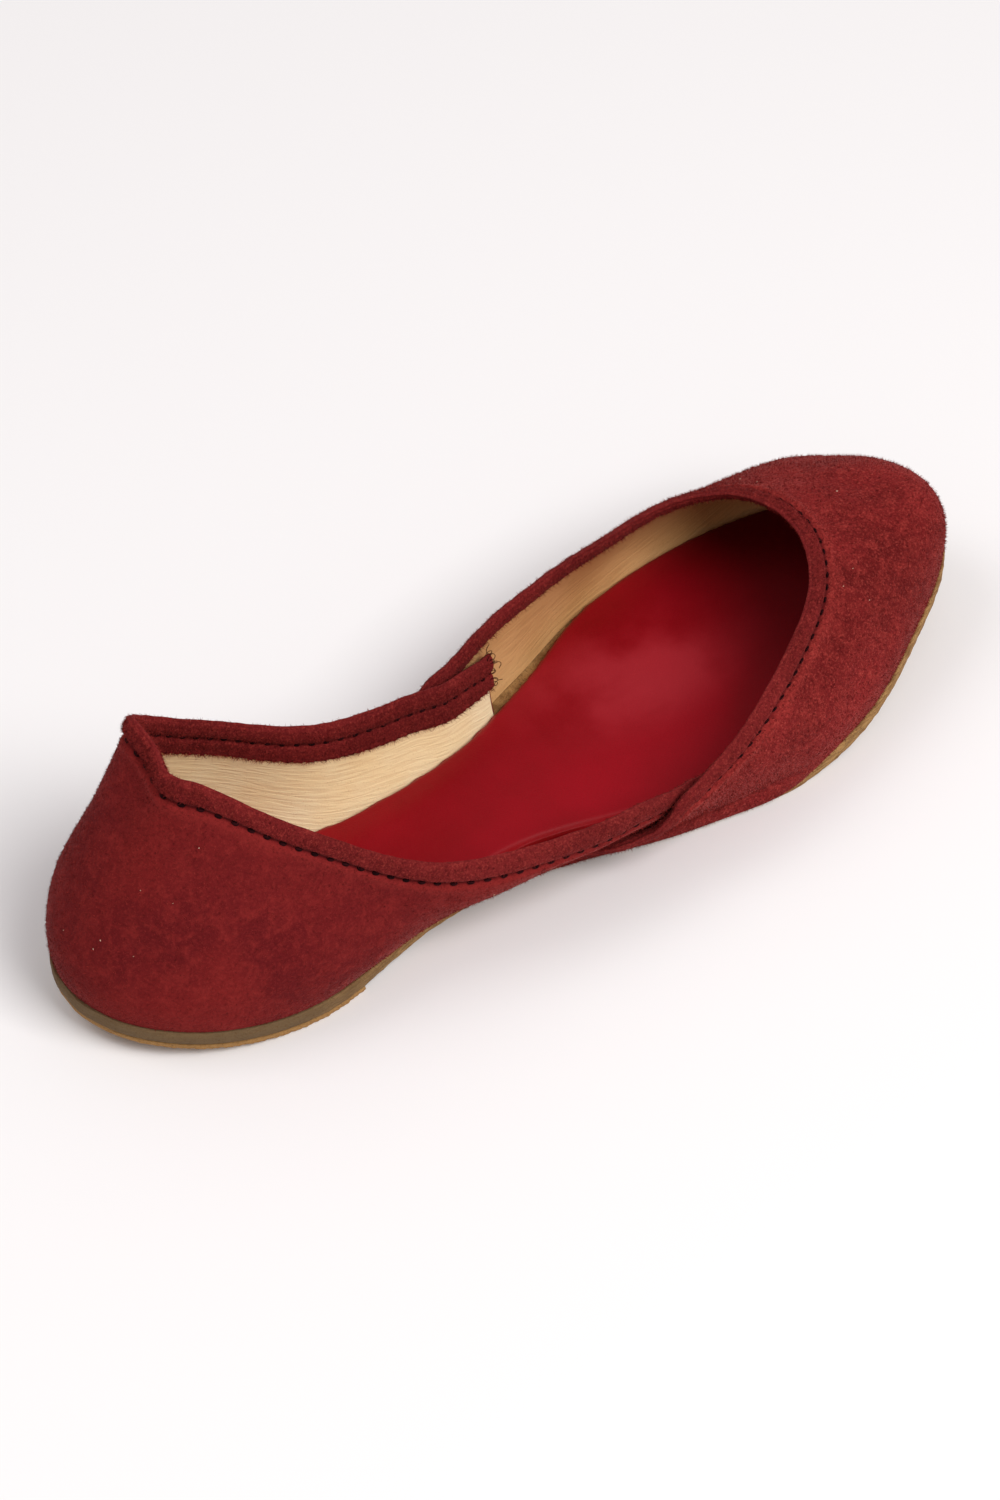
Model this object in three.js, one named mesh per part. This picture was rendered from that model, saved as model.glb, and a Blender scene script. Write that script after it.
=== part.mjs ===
// Mojari shoe, right foot, in millimetres: toe towards +X, left towards +Y, up +Z, the floor at zero and the origin
// under the middle of the shoe's box. Two suede pieces lined with leather, a quarter round the heel and a vamp over
// the toes, stand on a flat leather outsole. The vamp's wings lap outside the quarter's, and each top edge is bound
// with a folded strip.
import * as THREE from "three";

// Sole and last
const length = 250;
const ballWidth = 82;
const waistWidth = 44;
const heelWidth = 58;
const heelSpring = 5.5;
const toeSpring = 15.5;
const archRise = 3;
const soleThickness = 3.6;
const liftThickness = 1.8;
const liftLength = 58;
const insoleThickness = 2.6;

// Upper
const heelHeight = 62;
const waistHeight = 27;
const throatHeight = 33;
const wall = 1.8;
const skivedWall = 0.7;
const bindingThickness = 0.5;
const quarterOuterBand = 5.5;
const quarterInnerBand = 10.5;
const vampOuterBand = 4;
const vampInnerBand = 4.5;

// Clearances and edges
const gap = 0.3;
const rebateGap = 0.7;
const foldGap = 0.35;
const lapGap = 0.9;
const soleEdge = 0.8;
const liftInset = 0.6;
const insoleMargin = 0.35;
const endTrim = 0.12;
const edgeBevel = 0.5;
const liftBevel = 0.25;
const shoulderShare = 0.3;

// Floor contact along the sole, as shares of the length: both flats lie on one plane, and the sole rises out of them
// to heel and toe as a power of the distance
const heelFlat = { start: 0.165, end: liftLength / length };
const ballFlat = { start: 0.6, end: 0.7 };
const heelCurve = 1.6;
const toeCurve = 1.7;

// Sections round the last, from the heel's back along the right side to the toe and back along the left side.
// along is a share of the length, across a share of half the width named in of, and right is negative. foot is the
// outsole's outline, with the wall's lean out of it in degrees and the length of its lower curve as a share of the
// way to the rim. rim is the top edge that both pieces follow, up a share of the height named in upOf over the sole.
// crown says in degrees how far the wall lies down there, and drop is the length of its upper curve.
const widths = { heel: heelWidth / 2, waist: waistWidth / 2, ball: ballWidth / 2 };
const heights = { heel: heelHeight, waist: waistHeight, throat: throatHeight };
const foot = [
  { along: -0.011, across: 0.00, of: "heel", flare: 14, lift: 0.34 },
  { along: 0.008, across: -0.53, of: "heel", flare: 14, lift: 0.34 },
  { along: 0.074, across: -0.97, of: "heel", flare: 14, lift: 0.36 },
  { along: 0.180, across: -1.15, of: "heel", flare: 20, lift: 0.38 },
  { along: 0.320, across: -1.20, of: "waist", flare: 54, lift: 0.44 },
  { along: 0.460, across: -1.24, of: "waist", flare: 32, lift: 0.40 },
  { along: 0.595, across: -0.79, of: "ball", flare: 26, lift: 0.38 },
  { along: 0.712, across: -0.86, of: "ball", flare: 18, lift: 0.36 },
  { along: 0.816, across: -0.73, of: "ball", flare: 10, lift: 0.38 },
  { along: 0.908, across: -0.44, of: "ball", flare: 8, lift: 0.42 },
  { along: 0.979, across: -0.14, of: "ball", flare: 8, lift: 0.46 },
  { along: 1.004, across: 0.12, of: "ball", flare: 10, lift: 0.50 },
  { along: 0.985, across: 0.55, of: "ball", flare: 16, lift: 0.54 },
  { along: 0.916, across: 0.94, of: "ball", flare: 22, lift: 0.54 },
  { along: 0.798, across: 1.15, of: "ball", flare: 22, lift: 0.42 },
  { along: 0.672, across: 1.07, of: "ball", flare: 14, lift: 0.36 },
  { along: 0.552, across: 0.78, of: "ball", flare: 12, lift: 0.36 },
  { along: 0.432, across: 0.86, of: "waist", flare: 14, lift: 0.36 },
  { along: 0.312, across: 0.75, of: "waist", flare: 14, lift: 0.36 },
  { along: 0.180, across: 0.81, of: "heel", flare: 10, lift: 0.36 },
  { along: 0.070, across: 0.83, of: "heel", flare: 12, lift: 0.36 },
  { along: 0.008, across: 0.48, of: "heel", flare: 14, lift: 0.34 },
];
const rim = [
  { along: 0.110, across: 0.06, of: "heel", up: 1.00, upOf: "heel", crown: 14, drop: 0.36 },
  { along: 0.106, across: -0.18, of: "heel", up: 0.97, upOf: "heel", crown: 12, drop: 0.36 },
  { along: 0.126, across: -0.38, of: "heel", up: 0.95, upOf: "heel", crown: 12, drop: 0.36 },
  { along: 0.192, across: -0.76, of: "heel", up: 0.75, upOf: "heel", crown: 10, drop: 0.38 },
  { along: 0.314, across: -1.58, of: "waist", up: 1.01, upOf: "waist", crown: -6, drop: 0.50 },
  { along: 0.448, across: -1.80, of: "waist", up: 0.82, upOf: "waist", crown: -6, drop: 0.50 },
  { along: 0.556, across: -0.91, of: "ball", up: 0.87, upOf: "waist", crown: 4, drop: 0.40 },
  { along: 0.636, across: -0.79, of: "ball", up: 0.80, upOf: "throat", crown: 30, drop: 0.36 },
  { along: 0.719, across: -0.59, of: "ball", up: 0.94, upOf: "throat", crown: 54, drop: 0.36 },
  { along: 0.781, across: -0.32, of: "ball", up: 1.00, upOf: "throat", crown: 66, drop: 0.36 },
  { along: 0.811, across: -0.04, of: "ball", up: 1.00, upOf: "throat", crown: 72, drop: 0.36 },
  { along: 0.821, across: 0.20, of: "ball", up: 0.98, upOf: "throat", crown: 72, drop: 0.36 },
  { along: 0.818, across: 0.44, of: "ball", up: 0.95, upOf: "throat", crown: 68, drop: 0.36 },
  { along: 0.803, across: 0.68, of: "ball", up: 0.88, upOf: "throat", crown: 58, drop: 0.36 },
  { along: 0.762, across: 0.89, of: "ball", up: 0.78, upOf: "throat", crown: 38, drop: 0.36 },
  { along: 0.668, across: 0.86, of: "ball", up: 0.93, upOf: "waist", crown: 22, drop: 0.36 },
  { along: 0.561, across: 0.66, of: "ball", up: 0.92, upOf: "waist", crown: 10, drop: 0.36 },
  { along: 0.442, across: 0.72, of: "waist", up: 0.89, upOf: "waist", crown: 4, drop: 0.36 },
  { along: 0.314, across: 0.60, of: "waist", up: 1.12, upOf: "waist", crown: 4, drop: 0.36 },
  { along: 0.190, across: 0.56, of: "heel", up: 0.75, upOf: "heel", crown: 8, drop: 0.36 },
  { along: 0.126, across: 0.52, of: "heel", up: 0.93, upOf: "heel", crown: 10, drop: 0.36 },
  { along: 0.110, across: 0.36, of: "heel", up: 1.02, upOf: "heel", crown: 12, drop: 0.36 },
];
const levelBlend = 0.4;
const footBlend = 0.25;
const tangentStep = 0.03;

// How high each piece reaches on the last, in stations of the table above, as a share of the way up to the rim.
// The quarter runs round the heel between its two cut ends, the vamp round the toe between its two wing tips.
const quarterReach = [
  { station: -5.64, up: 0.76 },
  { station: -5.2, up: 0.88 },
  { station: -4.6, up: 1.0 },
  { station: 5.5, up: 1.0 },
  { station: 6.1, up: 0.88 },
  { station: 6.6, up: 0.74 },
];
const vampReach = [
  { station: 4.95, up: 0.24 },
  { station: 5.45, up: 0.54 },
  { station: 6.05, up: 0.95 },
  { station: 6.45, up: 1.0 },
  { station: 16.4, up: 1.0 },
  { station: 16.9, up: 0.93 },
  { station: 17.5, up: 0.5 },
  { station: 18.0, up: 0.2 },
];

// Stations past the quarter's ends that the vamp stays clear of them, and then takes to come down to the last
const clearStations = 0.1;
const easeStations = 1.6;

// The most that a band takes of a low wing's height
const shortBand = 0.5;

// Steps of the faceted surfaces
const stepsPerStation = 5;
const wallSteps = 7;
const outerSteps = 2;
const innerSteps = 3;
const soleSteps = 40;
const curveSteps = 880;

const clamp = THREE.MathUtils.clamp;
const smooth = (value, low, high) => THREE.MathUtils.smoothstep(value, low, high);
const radians = THREE.MathUtils.degToRad;

// The value at a place in a table of rows, eased from row to row
function tableValue(rows, place, key, value) {
  const last = rows.length - 1;
  if (place <= rows[0][key]) return rows[0][value];
  for (let i = 0; i < last; i += 1) {
    const [low, high] = [rows[i], rows[i + 1]];
    if (place <= high[key]) {
      const share = smooth(place, low[key], high[key]);
      return THREE.MathUtils.lerp(low[value], high[value], share);
    }
  }
  return rows[last][value];
}

// Height of the underside of heel lift and outsole over the floor
function floorRise(x) {
  const s = clamp(x / length, 0, 1);
  const heel = heelSpring * Math.pow(clamp(1 - s / heelFlat.start, 0, 1), heelCurve);
  const toe = toeSpring * Math.pow(clamp((s - ballFlat.end) / (1 - ballFlat.end), 0, 1), toeCurve);
  return heel + toe;
}

// The outsole's underside: it rides on the lift, and comes down over the arch to the ball
function soleBottom(x) {
  const s = x / length;
  const onLift = (liftThickness + gap) * (1 - smooth(s, heelFlat.end, ballFlat.start));
  const archShare = clamp((s - heelFlat.end) / (ballFlat.start - heelFlat.end), 0, 1);
  return floorRise(x) + onLift + archRise * Math.pow(Math.sin(Math.PI * archShare), 2);
}

const soleTop = (x) => soleBottom(x) + soleThickness;

// Closed curves through the rows of a table
function closedCurve(rows, pointOf) {
  const curve = new THREE.CatmullRomCurve3(rows.map(pointOf), true, "centripetal");
  return (station) => {
    const share = (station / rows.length) % 1;
    return curve.getPoint(share < 0 ? share + 1 : share);
  };
}

const planPoint = (row, z) => new THREE.Vector3(row.along * length, row.across * widths[row.of], z);
const outlinePoint = closedCurve(foot, (row) => planPoint(row, 0));
const rimOverSole = closedCurve(rim, (row) => planPoint(row, row.up * heights[row.upOf]));

// A column of a table at a station, on a smooth curve through its rows
function columnAt(rows, name, station) {
  const count = rows.length;
  const first = Math.floor(station);
  const value = (i) => rows[((i % count) + count) % count][name];
  const [a, b, c, d] = [first - 1, first, first + 1, first + 2].map(value);
  const t = station - first;
  return b + 0.5 * t * (c - a + t * (2 * a - 5 * b + 4 * c - d + t * (3 * (b - c) + d - a)));
}

// Level direction out of the last at a station
function outward(station) {
  const along = outlinePoint(station + tangentStep).sub(outlinePoint(station - tangentStep));
  return new THREE.Vector3(along.y, -along.x, 0).normalize();
}

// How far the vamp stands off the last, so that it clears the bound quarter inside it
const vampClearance = wall + bindingThickness + lapGap;
function vampStand(station) {
  const quarterEnd = quarterReach[quarterReach.length - 1].station + clearStations;
  const farEnd = foot.length + quarterReach[0].station - clearStations;
  const near = 1 - smooth(station, quarterEnd, quarterEnd + easeStations);
  const far = smooth(station, farEnd - easeStations, farEnd);
  return vampClearance * Math.max(near, far);
}

// Thickness of all that stands between the last and the sole's edge at a station
function upperDepth(station) {
  const count = foot.length;
  const turn = ((station % count) + count) % count;
  const start = vampReach[0].station;
  const end = vampReach[vampReach.length - 1].station;
  const inVamp = smooth(turn, start - 1, start) * (1 - smooth(turn, end, end + 1));
  return wall + inVamp * vampStand(turn);
}

// The last's foot line: inside the sole's outline by the upper and the sole's edge
function footPoint(station) {
  const point = outlinePoint(station).addScaledVector(outward(station), -(upperDepth(station) + soleEdge));
  point.z = soleTop(point.x) + gap;
  return point;
}

function rimPoint(station) {
  const point = rimOverSole(station);
  point.z += soleTop(point.x) + gap;
  return point;
}

// The cross curve of the last's surface at a station, from the foot line up to the rim
const crossCurves = new Map();
function crossCurve(station) {
  const key = station.toFixed(4);
  if (!crossCurves.has(key)) {
    const start = footPoint(station);
    const end = rimPoint(station);
    const out = outward(station);
    const flare = radians(columnAt(foot, "flare", station));
    const crown = radians(columnAt(rim, "crown", station));
    const reach = start.distanceTo(end);
    const level = new THREE.Vector3(start.x - end.x, start.y - end.y, 0).addScaledVector(out, levelBlend * reach);
    const footWay = new THREE.Vector3(0, 0, Math.cos(flare)).addScaledVector(out, Math.sin(flare));
    const rimWay = new THREE.Vector3(0, 0, -Math.cos(crown)).addScaledVector(level.normalize(), Math.sin(crown));
    crossCurves.set(key, new THREE.CubicBezierCurve3(
      start,
      start.clone().addScaledVector(footWay, columnAt(foot, "lift", station) * reach),
      end.clone().addScaledVector(rimWay, columnAt(rim, "drop", station) * reach),
      end,
    ));
  }
  return crossCurves.get(key);
}

const crossLength = (station) => crossCurve(station).getLength();
const lastPoint = (station, up) => crossCurve(station).getPointAt(clamp(up, 0, 1));

// A point of the upper: up the last's surface by a share, and out of it by a depth, level at the foot
function upperPoint(station, up, depth) {
  const here = clamp(up, 0, 1);
  const point = lastPoint(station, here);
  const along = lastPoint(station + tangentStep, here).sub(lastPoint(station - tangentStep, here));
  const above = Math.min(here + tangentStep, 1);
  const below = Math.max(here - tangentStep, 0);
  const rise = lastPoint(station, above).sub(lastPoint(station, below));
  const normal = along.cross(rise).normalize();
  const blend = smooth(here, 0, footBlend);
  normal.lerpVectors(outward(station), normal, blend).normalize();
  point.addScaledVector(normal, depth);
  if (here === 0) point.z = soleTop(point.x) + gap;
  return point;
}

// A closed solid from rings of points, stitched one to the next. Its two ends are filled by way of the outlines, which
// are the first and the last ring laid flat.
function solidFromRings(rings, outlines) {
  const size = rings[0].length;
  const positions = rings.flat().flatMap((point) => [point.x, point.y, point.z]);
  const faces = [];
  for (let ring = 0; ring + 1 < rings.length; ring += 1) {
    for (let i = 0; i < size; i += 1) {
      const next = (i + 1) % size;
      const [a, b] = [ring * size + i, ring * size + next];
      const [c, d] = [a + size, b + size];
      faces.push(a, b, d, a, d, c);
    }
  }
  const fill = (ring, outline, isStart) => {
    const reversed = THREE.ShapeUtils.isClockWise(outline) !== isStart;
    for (const triangle of THREE.ShapeUtils.triangulateShape(outline, [])) {
      const corners = triangle.map((corner) => ring * size + corner);
      faces.push(...(reversed ? corners.reverse() : corners));
    }
  };
  fill(0, outlines[0], true);
  fill(rings.length - 1, outlines[1], false);
  const geometry = new THREE.BufferGeometry();
  geometry.setAttribute("position", new THREE.Float32BufferAttribute(positions, 3));
  geometry.setIndex(faces);
  return turnedOutwards(geometry);
}

// Reverses every face when the solid's volume comes out negative
function turnedOutwards(geometry) {
  const position = geometry.getAttribute("position");
  const index = Array.from(geometry.getIndex().array);
  const corner = [new THREE.Vector3(), new THREE.Vector3(), new THREE.Vector3()];
  let volume = 0;
  for (let i = 0; i < index.length; i += 3) {
    corner.forEach((point, j) => point.fromBufferAttribute(position, index[i + j]));
    volume += corner[0].dot(corner[1].clone().cross(corner[2]));
  }
  if (volume < 0) {
    for (let i = 0; i < index.length; i += 3) {
      [index[i + 1], index[i + 2]] = [index[i + 2], index[i + 1]];
    }
    geometry.setIndex(index);
  }
  geometry.computeVertexNormals();
  return geometry;
}

// Evenly spaced stations over a piece's reach
function stationsOver(reach) {
  const start = reach[0].station;
  const end = reach[reach.length - 1].station;
  const steps = Math.round((end - start) * stepsPerStation);
  return Array.from({ length: steps + 1 }, (_, i) => start + ((end - start) * i) / steps);
}

// Distances up the wall at a station: its top, and where the binding's rebates start, shorter on a low wing. Wall and
// binding share the steps between a rebate's start and its shoulder, so that their facets lie parallel.
function wallLevels(station, reach, bands) {
  const top = tableValue(reach, station, "station", "up") * crossLength(station);
  const low = shortBand * top;
  const shoulder = top - bindingThickness;
  const outer = Math.max(top - bands.outer, low);
  const inner = Math.max(top - bands.inner, low);
  const steps = (from, count) => Array.from({ length: count }, (_, i) => from + ((shoulder - from) * i) / count);
  return { top, shoulder, outer: steps(outer, outerSteps), inner: steps(inner, innerSteps) };
}

// Depths through the wall of the skived blade's faces, and of the binding's faces outside and inside it
const skive = (wall - skivedWall) / 2;
const bindingOutside = wall - skive + foldGap + bindingThickness;
const bindingInside = skive - foldGap - bindingThickness;

// A place in a section of the upper: its distance up the wall and its depth out of the last
const at = (distance, depth) => new THREE.Vector2(distance, depth);

// Section of the leather wall, skived on both faces where the binding folds over it
function wallSection({ shoulder, outer, inner }) {
  const face = (top, depth) => Array.from({ length: wallSteps + 1 }, (_, i) => at((top * i) / wallSteps, depth));
  return [
    ...face(outer[0] - rebateGap, wall),
    at(outer[0] - rebateGap, wall - skive),
    ...outer.slice(1).map((distance) => at(distance, wall - skive)),
    at(shoulder - gap, wall - skive),
    at(shoulder - gap, skive),
    ...inner.slice(1).reverse().map((distance) => at(distance, skive)),
    at(inner[0] - rebateGap, skive),
    ...face(inner[0] - rebateGap, 0).reverse(),
  ];
}

// Section of the folded strip over a piece's top edge: a channel round the skived wall
function bindingSection({ top, shoulder, outer, inner }) {
  return [
    ...outer.map((distance) => at(distance, bindingOutside)),
    at(shoulder, bindingOutside),
    at(top, bindingOutside - bindingThickness),
    at(top, bindingInside + bindingThickness),
    at(shoulder, bindingInside),
    ...inner.slice().reverse().map((distance) => at(distance, bindingInside)),
    ...inner.map((distance) => at(distance, bindingInside + bindingThickness)),
    at(shoulder, bindingInside + bindingThickness),
    at(shoulder, bindingOutside - bindingThickness),
    ...outer.slice().reverse().map((distance) => at(distance, bindingOutside - bindingThickness)),
  ];
}

// A piece of the upper: its section carried along its reach, standing off the last
function upperSolid(section, reach, bands, standOff) {
  const stations = stationsOver(reach);
  const sections = stations.map((station) => section(wallLevels(station, reach, bands)));
  const rings = stations.map((station, i) => {
    const total = crossLength(station);
    const stand = standOff(station);
    return sections[i].map((place) => upperPoint(station, place.x / total, stand + place.y));
  });
  return solidFromRings(rings, [sections[0], sections[sections.length - 1]]);
}

// The two sides of a closed curve round the sole at any distance from the heel
function sidesOf(pointOf) {
  const points = Array.from({ length: curveSteps }, (_, i) => pointOf((i / curveSteps) * foot.length));
  const rear = points.reduce((best, point, i) => (point.x < points[best].x ? i : best), 0);
  const front = points.reduce((best, point, i) => (point.x > points[best].x ? i : best), 0);
  const walk = (from, to, way) => {
    const run = [];
    for (let i = from; i !== to; i = (i + way + curveSteps) % curveSteps) run.push(points[i]);
    run.push(points[to]);
    return run;
  };
  const acrossAt = (run, x) => {
    const i = clamp(run.findIndex((point) => point.x >= x), 1, run.length - 1);
    const [low, high] = [run[i - 1], run[i]];
    return THREE.MathUtils.mapLinear(clamp(x, low.x, high.x), low.x, high.x, low.y, high.y);
  };
  const right = walk(rear, front, 1);
  const left = walk(rear, front, -1);
  return {
    rear: points[rear].x,
    front: points[front].x,
    right: (x) => acrossAt(right, x),
    left: (x) => acrossAt(left, x),
  };
}

// A flat piece under or in the shoe, swept from heel to toe: sides give its outline, profile the ring of its section
function plateSolid(sides, start, end, profile) {
  const rings = Array.from({ length: soleSteps + 1 }, (_, i) => {
    const share = 0.5 - 0.5 * Math.cos((Math.PI * i) / soleSteps);
    const x = start + (end - start) * share;
    return profile(x, sides.right(x), sides.left(x));
  });
  const flat = (ring) => ring.map((point) => new THREE.Vector2(point.y, point.z));
  return solidFromRings(rings, [flat(rings[0]), flat(rings[soleSteps])]);
}

// The section of a plate with bevelled edges between two heights; right is the lesser y
function bevelledSection(x, right, left, bottom, top, bevel) {
  const side = Math.min(bevel, (left - right) / 4);
  return [
    new THREE.Vector3(x, right + side, bottom),
    new THREE.Vector3(x, left - side, bottom),
    new THREE.Vector3(x, left, bottom + bevel),
    new THREE.Vector3(x, left, top - bevel),
    new THREE.Vector3(x, left - side, top),
    new THREE.Vector3(x, right + side, top),
    new THREE.Vector3(x, right, top - bevel),
    new THREE.Vector3(x, right, bottom + bevel),
  ];
}

function outsoleSolid() {
  const sides = sidesOf(outlinePoint);
  return plateSolid(sides, sides.rear + endTrim, sides.front - endTrim, (x, right, left) =>
    bevelledSection(x, right, left, soleBottom(x), soleTop(x), edgeBevel));
}

function heelLiftSolid() {
  const inner = (station) => outlinePoint(station).addScaledVector(outward(station), -liftInset);
  const sides = sidesOf(inner);
  return plateSolid(sides, sides.rear + endTrim, liftLength, (x, right, left) =>
    bevelledSection(x, right, left, floorRise(x), soleBottom(x) - gap, liftBevel));
}

// The padded insole: it lies inside the upper's foot line, its top edge rolled over
function insoleSolid() {
  const inner = (station) => footPoint(station).addScaledVector(outward(station), -insoleMargin);
  const sides = sidesOf(inner);
  const roll = insoleThickness / 2;
  return plateSolid(sides, sides.rear + endTrim, sides.front - endTrim, (x, right, left) => {
    const base = soleTop(x) + gap;
    const inset = Math.min(roll, (left - right) / 4);
    return [
      new THREE.Vector3(x, right + inset / 2, base),
      new THREE.Vector3(x, left - inset / 2, base),
      new THREE.Vector3(x, left, base + roll / 2),
      new THREE.Vector3(x, left - inset * shoulderShare, base + insoleThickness - roll * shoulderShare),
      new THREE.Vector3(x, left - inset, base + insoleThickness),
      new THREE.Vector3(x, right + inset, base + insoleThickness),
      new THREE.Vector3(x, right + inset * shoulderShare, base + insoleThickness - roll * shoulderShare),
      new THREE.Vector3(x, right, base + roll / 2),
    ];
  });
}

const suede = new THREE.MeshStandardMaterial({ color: "#7d2a2a", roughness: 0.95, metalness: 0 });
const bindingSuede = new THREE.MeshStandardMaterial({ color: "#7b3235", roughness: 0.95, metalness: 0 });
const insoleLeather = new THREE.MeshStandardMaterial({ color: "#8e0f1b", roughness: 0.45, metalness: 0 });
const soleLeather = new THREE.MeshStandardMaterial({ color: "#b98a58", roughness: 0.8, metalness: 0 });
const liftLeather = new THREE.MeshStandardMaterial({ color: "#9a7148", roughness: 0.8, metalness: 0 });

function piece(name, geometry, material) {
  const mesh = new THREE.Mesh(geometry, material.clone());
  mesh.name = name;
  return mesh;
}

const quarterBands = { outer: quarterOuterBand, inner: quarterInnerBand };
const vampBands = { outer: vampOuterBand, inner: vampInnerBand };
const onLast = () => 0;
const shoe = new THREE.Group();
shoe.add(
  piece("outsole", outsoleSolid(), soleLeather),
  piece("heel_lift", heelLiftSolid(), liftLeather),
  piece("insole", insoleSolid(), insoleLeather),
  piece("upper_quarter", upperSolid(wallSection, quarterReach, quarterBands, onLast), suede),
  piece("upper_vamp", upperSolid(wallSection, vampReach, vampBands, vampStand), suede),
  piece("quarter_binding", upperSolid(bindingSection, quarterReach, quarterBands, onLast), bindingSuede),
  piece("vamp_binding", upperSolid(bindingSection, vampReach, vampBands, vampStand), bindingSuede),
);

// The origin goes under the middle of the whole shoe's box, on the floor
const box = new THREE.Box3().setFromObject(shoe);
shoe.position.set(-(box.min.x + box.max.x) / 2, -(box.min.y + box.max.y) / 2, -box.min.z);

export default shoe;
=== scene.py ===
"""Mojari shoe, right foot: the finished shoe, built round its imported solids.

Two suede pieces lined with leather, a quarter round the heel and a vamp over the toes, stand on a flat
leather outsole. The vamp's wings lap outside the quarter's, and each top edge is bound with a strip that is
folded over it and sewn through. Every piece of the upper is a slab carried onto the surface of the last,
and the last is worked out here from the sizes and tables that the solids follow. Sizes are in millimetres,
and turn to metres as a mesh is written.
"""
from __future__ import annotations

import logging
import math
from collections.abc import Callable
from dataclasses import dataclass, field
from enum import Enum
from typing import NamedTuple

import bpy
import numpy as np
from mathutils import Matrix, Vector


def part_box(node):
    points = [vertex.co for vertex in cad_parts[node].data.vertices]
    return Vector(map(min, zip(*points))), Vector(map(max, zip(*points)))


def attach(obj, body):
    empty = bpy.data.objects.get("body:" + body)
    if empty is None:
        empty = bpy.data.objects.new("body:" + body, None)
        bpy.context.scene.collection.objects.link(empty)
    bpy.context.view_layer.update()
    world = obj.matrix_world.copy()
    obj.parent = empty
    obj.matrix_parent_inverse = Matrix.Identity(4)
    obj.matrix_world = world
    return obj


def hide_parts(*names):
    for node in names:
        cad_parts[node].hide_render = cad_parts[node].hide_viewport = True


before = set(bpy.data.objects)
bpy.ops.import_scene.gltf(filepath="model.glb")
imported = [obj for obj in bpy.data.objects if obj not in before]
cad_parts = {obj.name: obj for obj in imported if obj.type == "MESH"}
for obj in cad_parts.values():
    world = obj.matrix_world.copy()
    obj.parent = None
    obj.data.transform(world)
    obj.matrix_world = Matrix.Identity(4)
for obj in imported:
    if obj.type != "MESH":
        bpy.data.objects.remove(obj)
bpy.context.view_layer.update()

log = logging.getLogger("mojari")
BODY = "root"
MM = 0.001
# Vertices nearer than this, in metres, become one
MERGE_WITHIN = 2e-6


class Girth(Enum):
    """Where on the last a width or a height is taken."""

    HEEL = "heel"
    WAIST = "waist"
    BALL = "ball"
    THROAT = "throat"


class FootRow(NamedTuple):
    """A section where it meets the sole: its place, the wall's lean and its lower curve's length."""

    along: float
    across: float
    of: Girth
    flare: float
    lift: float


class RimRow(NamedTuple):
    """The same section at the top edge: its place, height, the wall's lean and its upper curve's length."""

    along: float
    across: float
    of: Girth
    up: float
    up_of: Girth
    crown: float
    drop: float


class ReachRow(NamedTuple):
    """How high a piece stands on the last at a station, as a share of the way up to the rim."""

    station: float
    up: float


HEEL, WAIST, BALL, THROAT = Girth
FOOT = (
    FootRow(-0.011, 0.00, HEEL, 14, 0.34),
    FootRow(0.008, -0.53, HEEL, 14, 0.34),
    FootRow(0.074, -0.97, HEEL, 14, 0.36),
    FootRow(0.180, -1.15, HEEL, 20, 0.38),
    FootRow(0.320, -1.20, WAIST, 54, 0.44),
    FootRow(0.460, -1.24, WAIST, 32, 0.40),
    FootRow(0.595, -0.79, BALL, 26, 0.38),
    FootRow(0.712, -0.86, BALL, 18, 0.36),
    FootRow(0.816, -0.73, BALL, 10, 0.38),
    FootRow(0.908, -0.44, BALL, 8, 0.42),
    FootRow(0.979, -0.14, BALL, 8, 0.46),
    FootRow(1.004, 0.12, BALL, 10, 0.50),
    FootRow(0.985, 0.55, BALL, 16, 0.54),
    FootRow(0.916, 0.94, BALL, 22, 0.54),
    FootRow(0.798, 1.15, BALL, 22, 0.42),
    FootRow(0.672, 1.07, BALL, 14, 0.36),
    FootRow(0.552, 0.78, BALL, 12, 0.36),
    FootRow(0.432, 0.86, WAIST, 14, 0.36),
    FootRow(0.312, 0.75, WAIST, 14, 0.36),
    FootRow(0.180, 0.81, HEEL, 10, 0.36),
    FootRow(0.070, 0.83, HEEL, 12, 0.36),
    FootRow(0.008, 0.48, HEEL, 14, 0.34),
)
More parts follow.
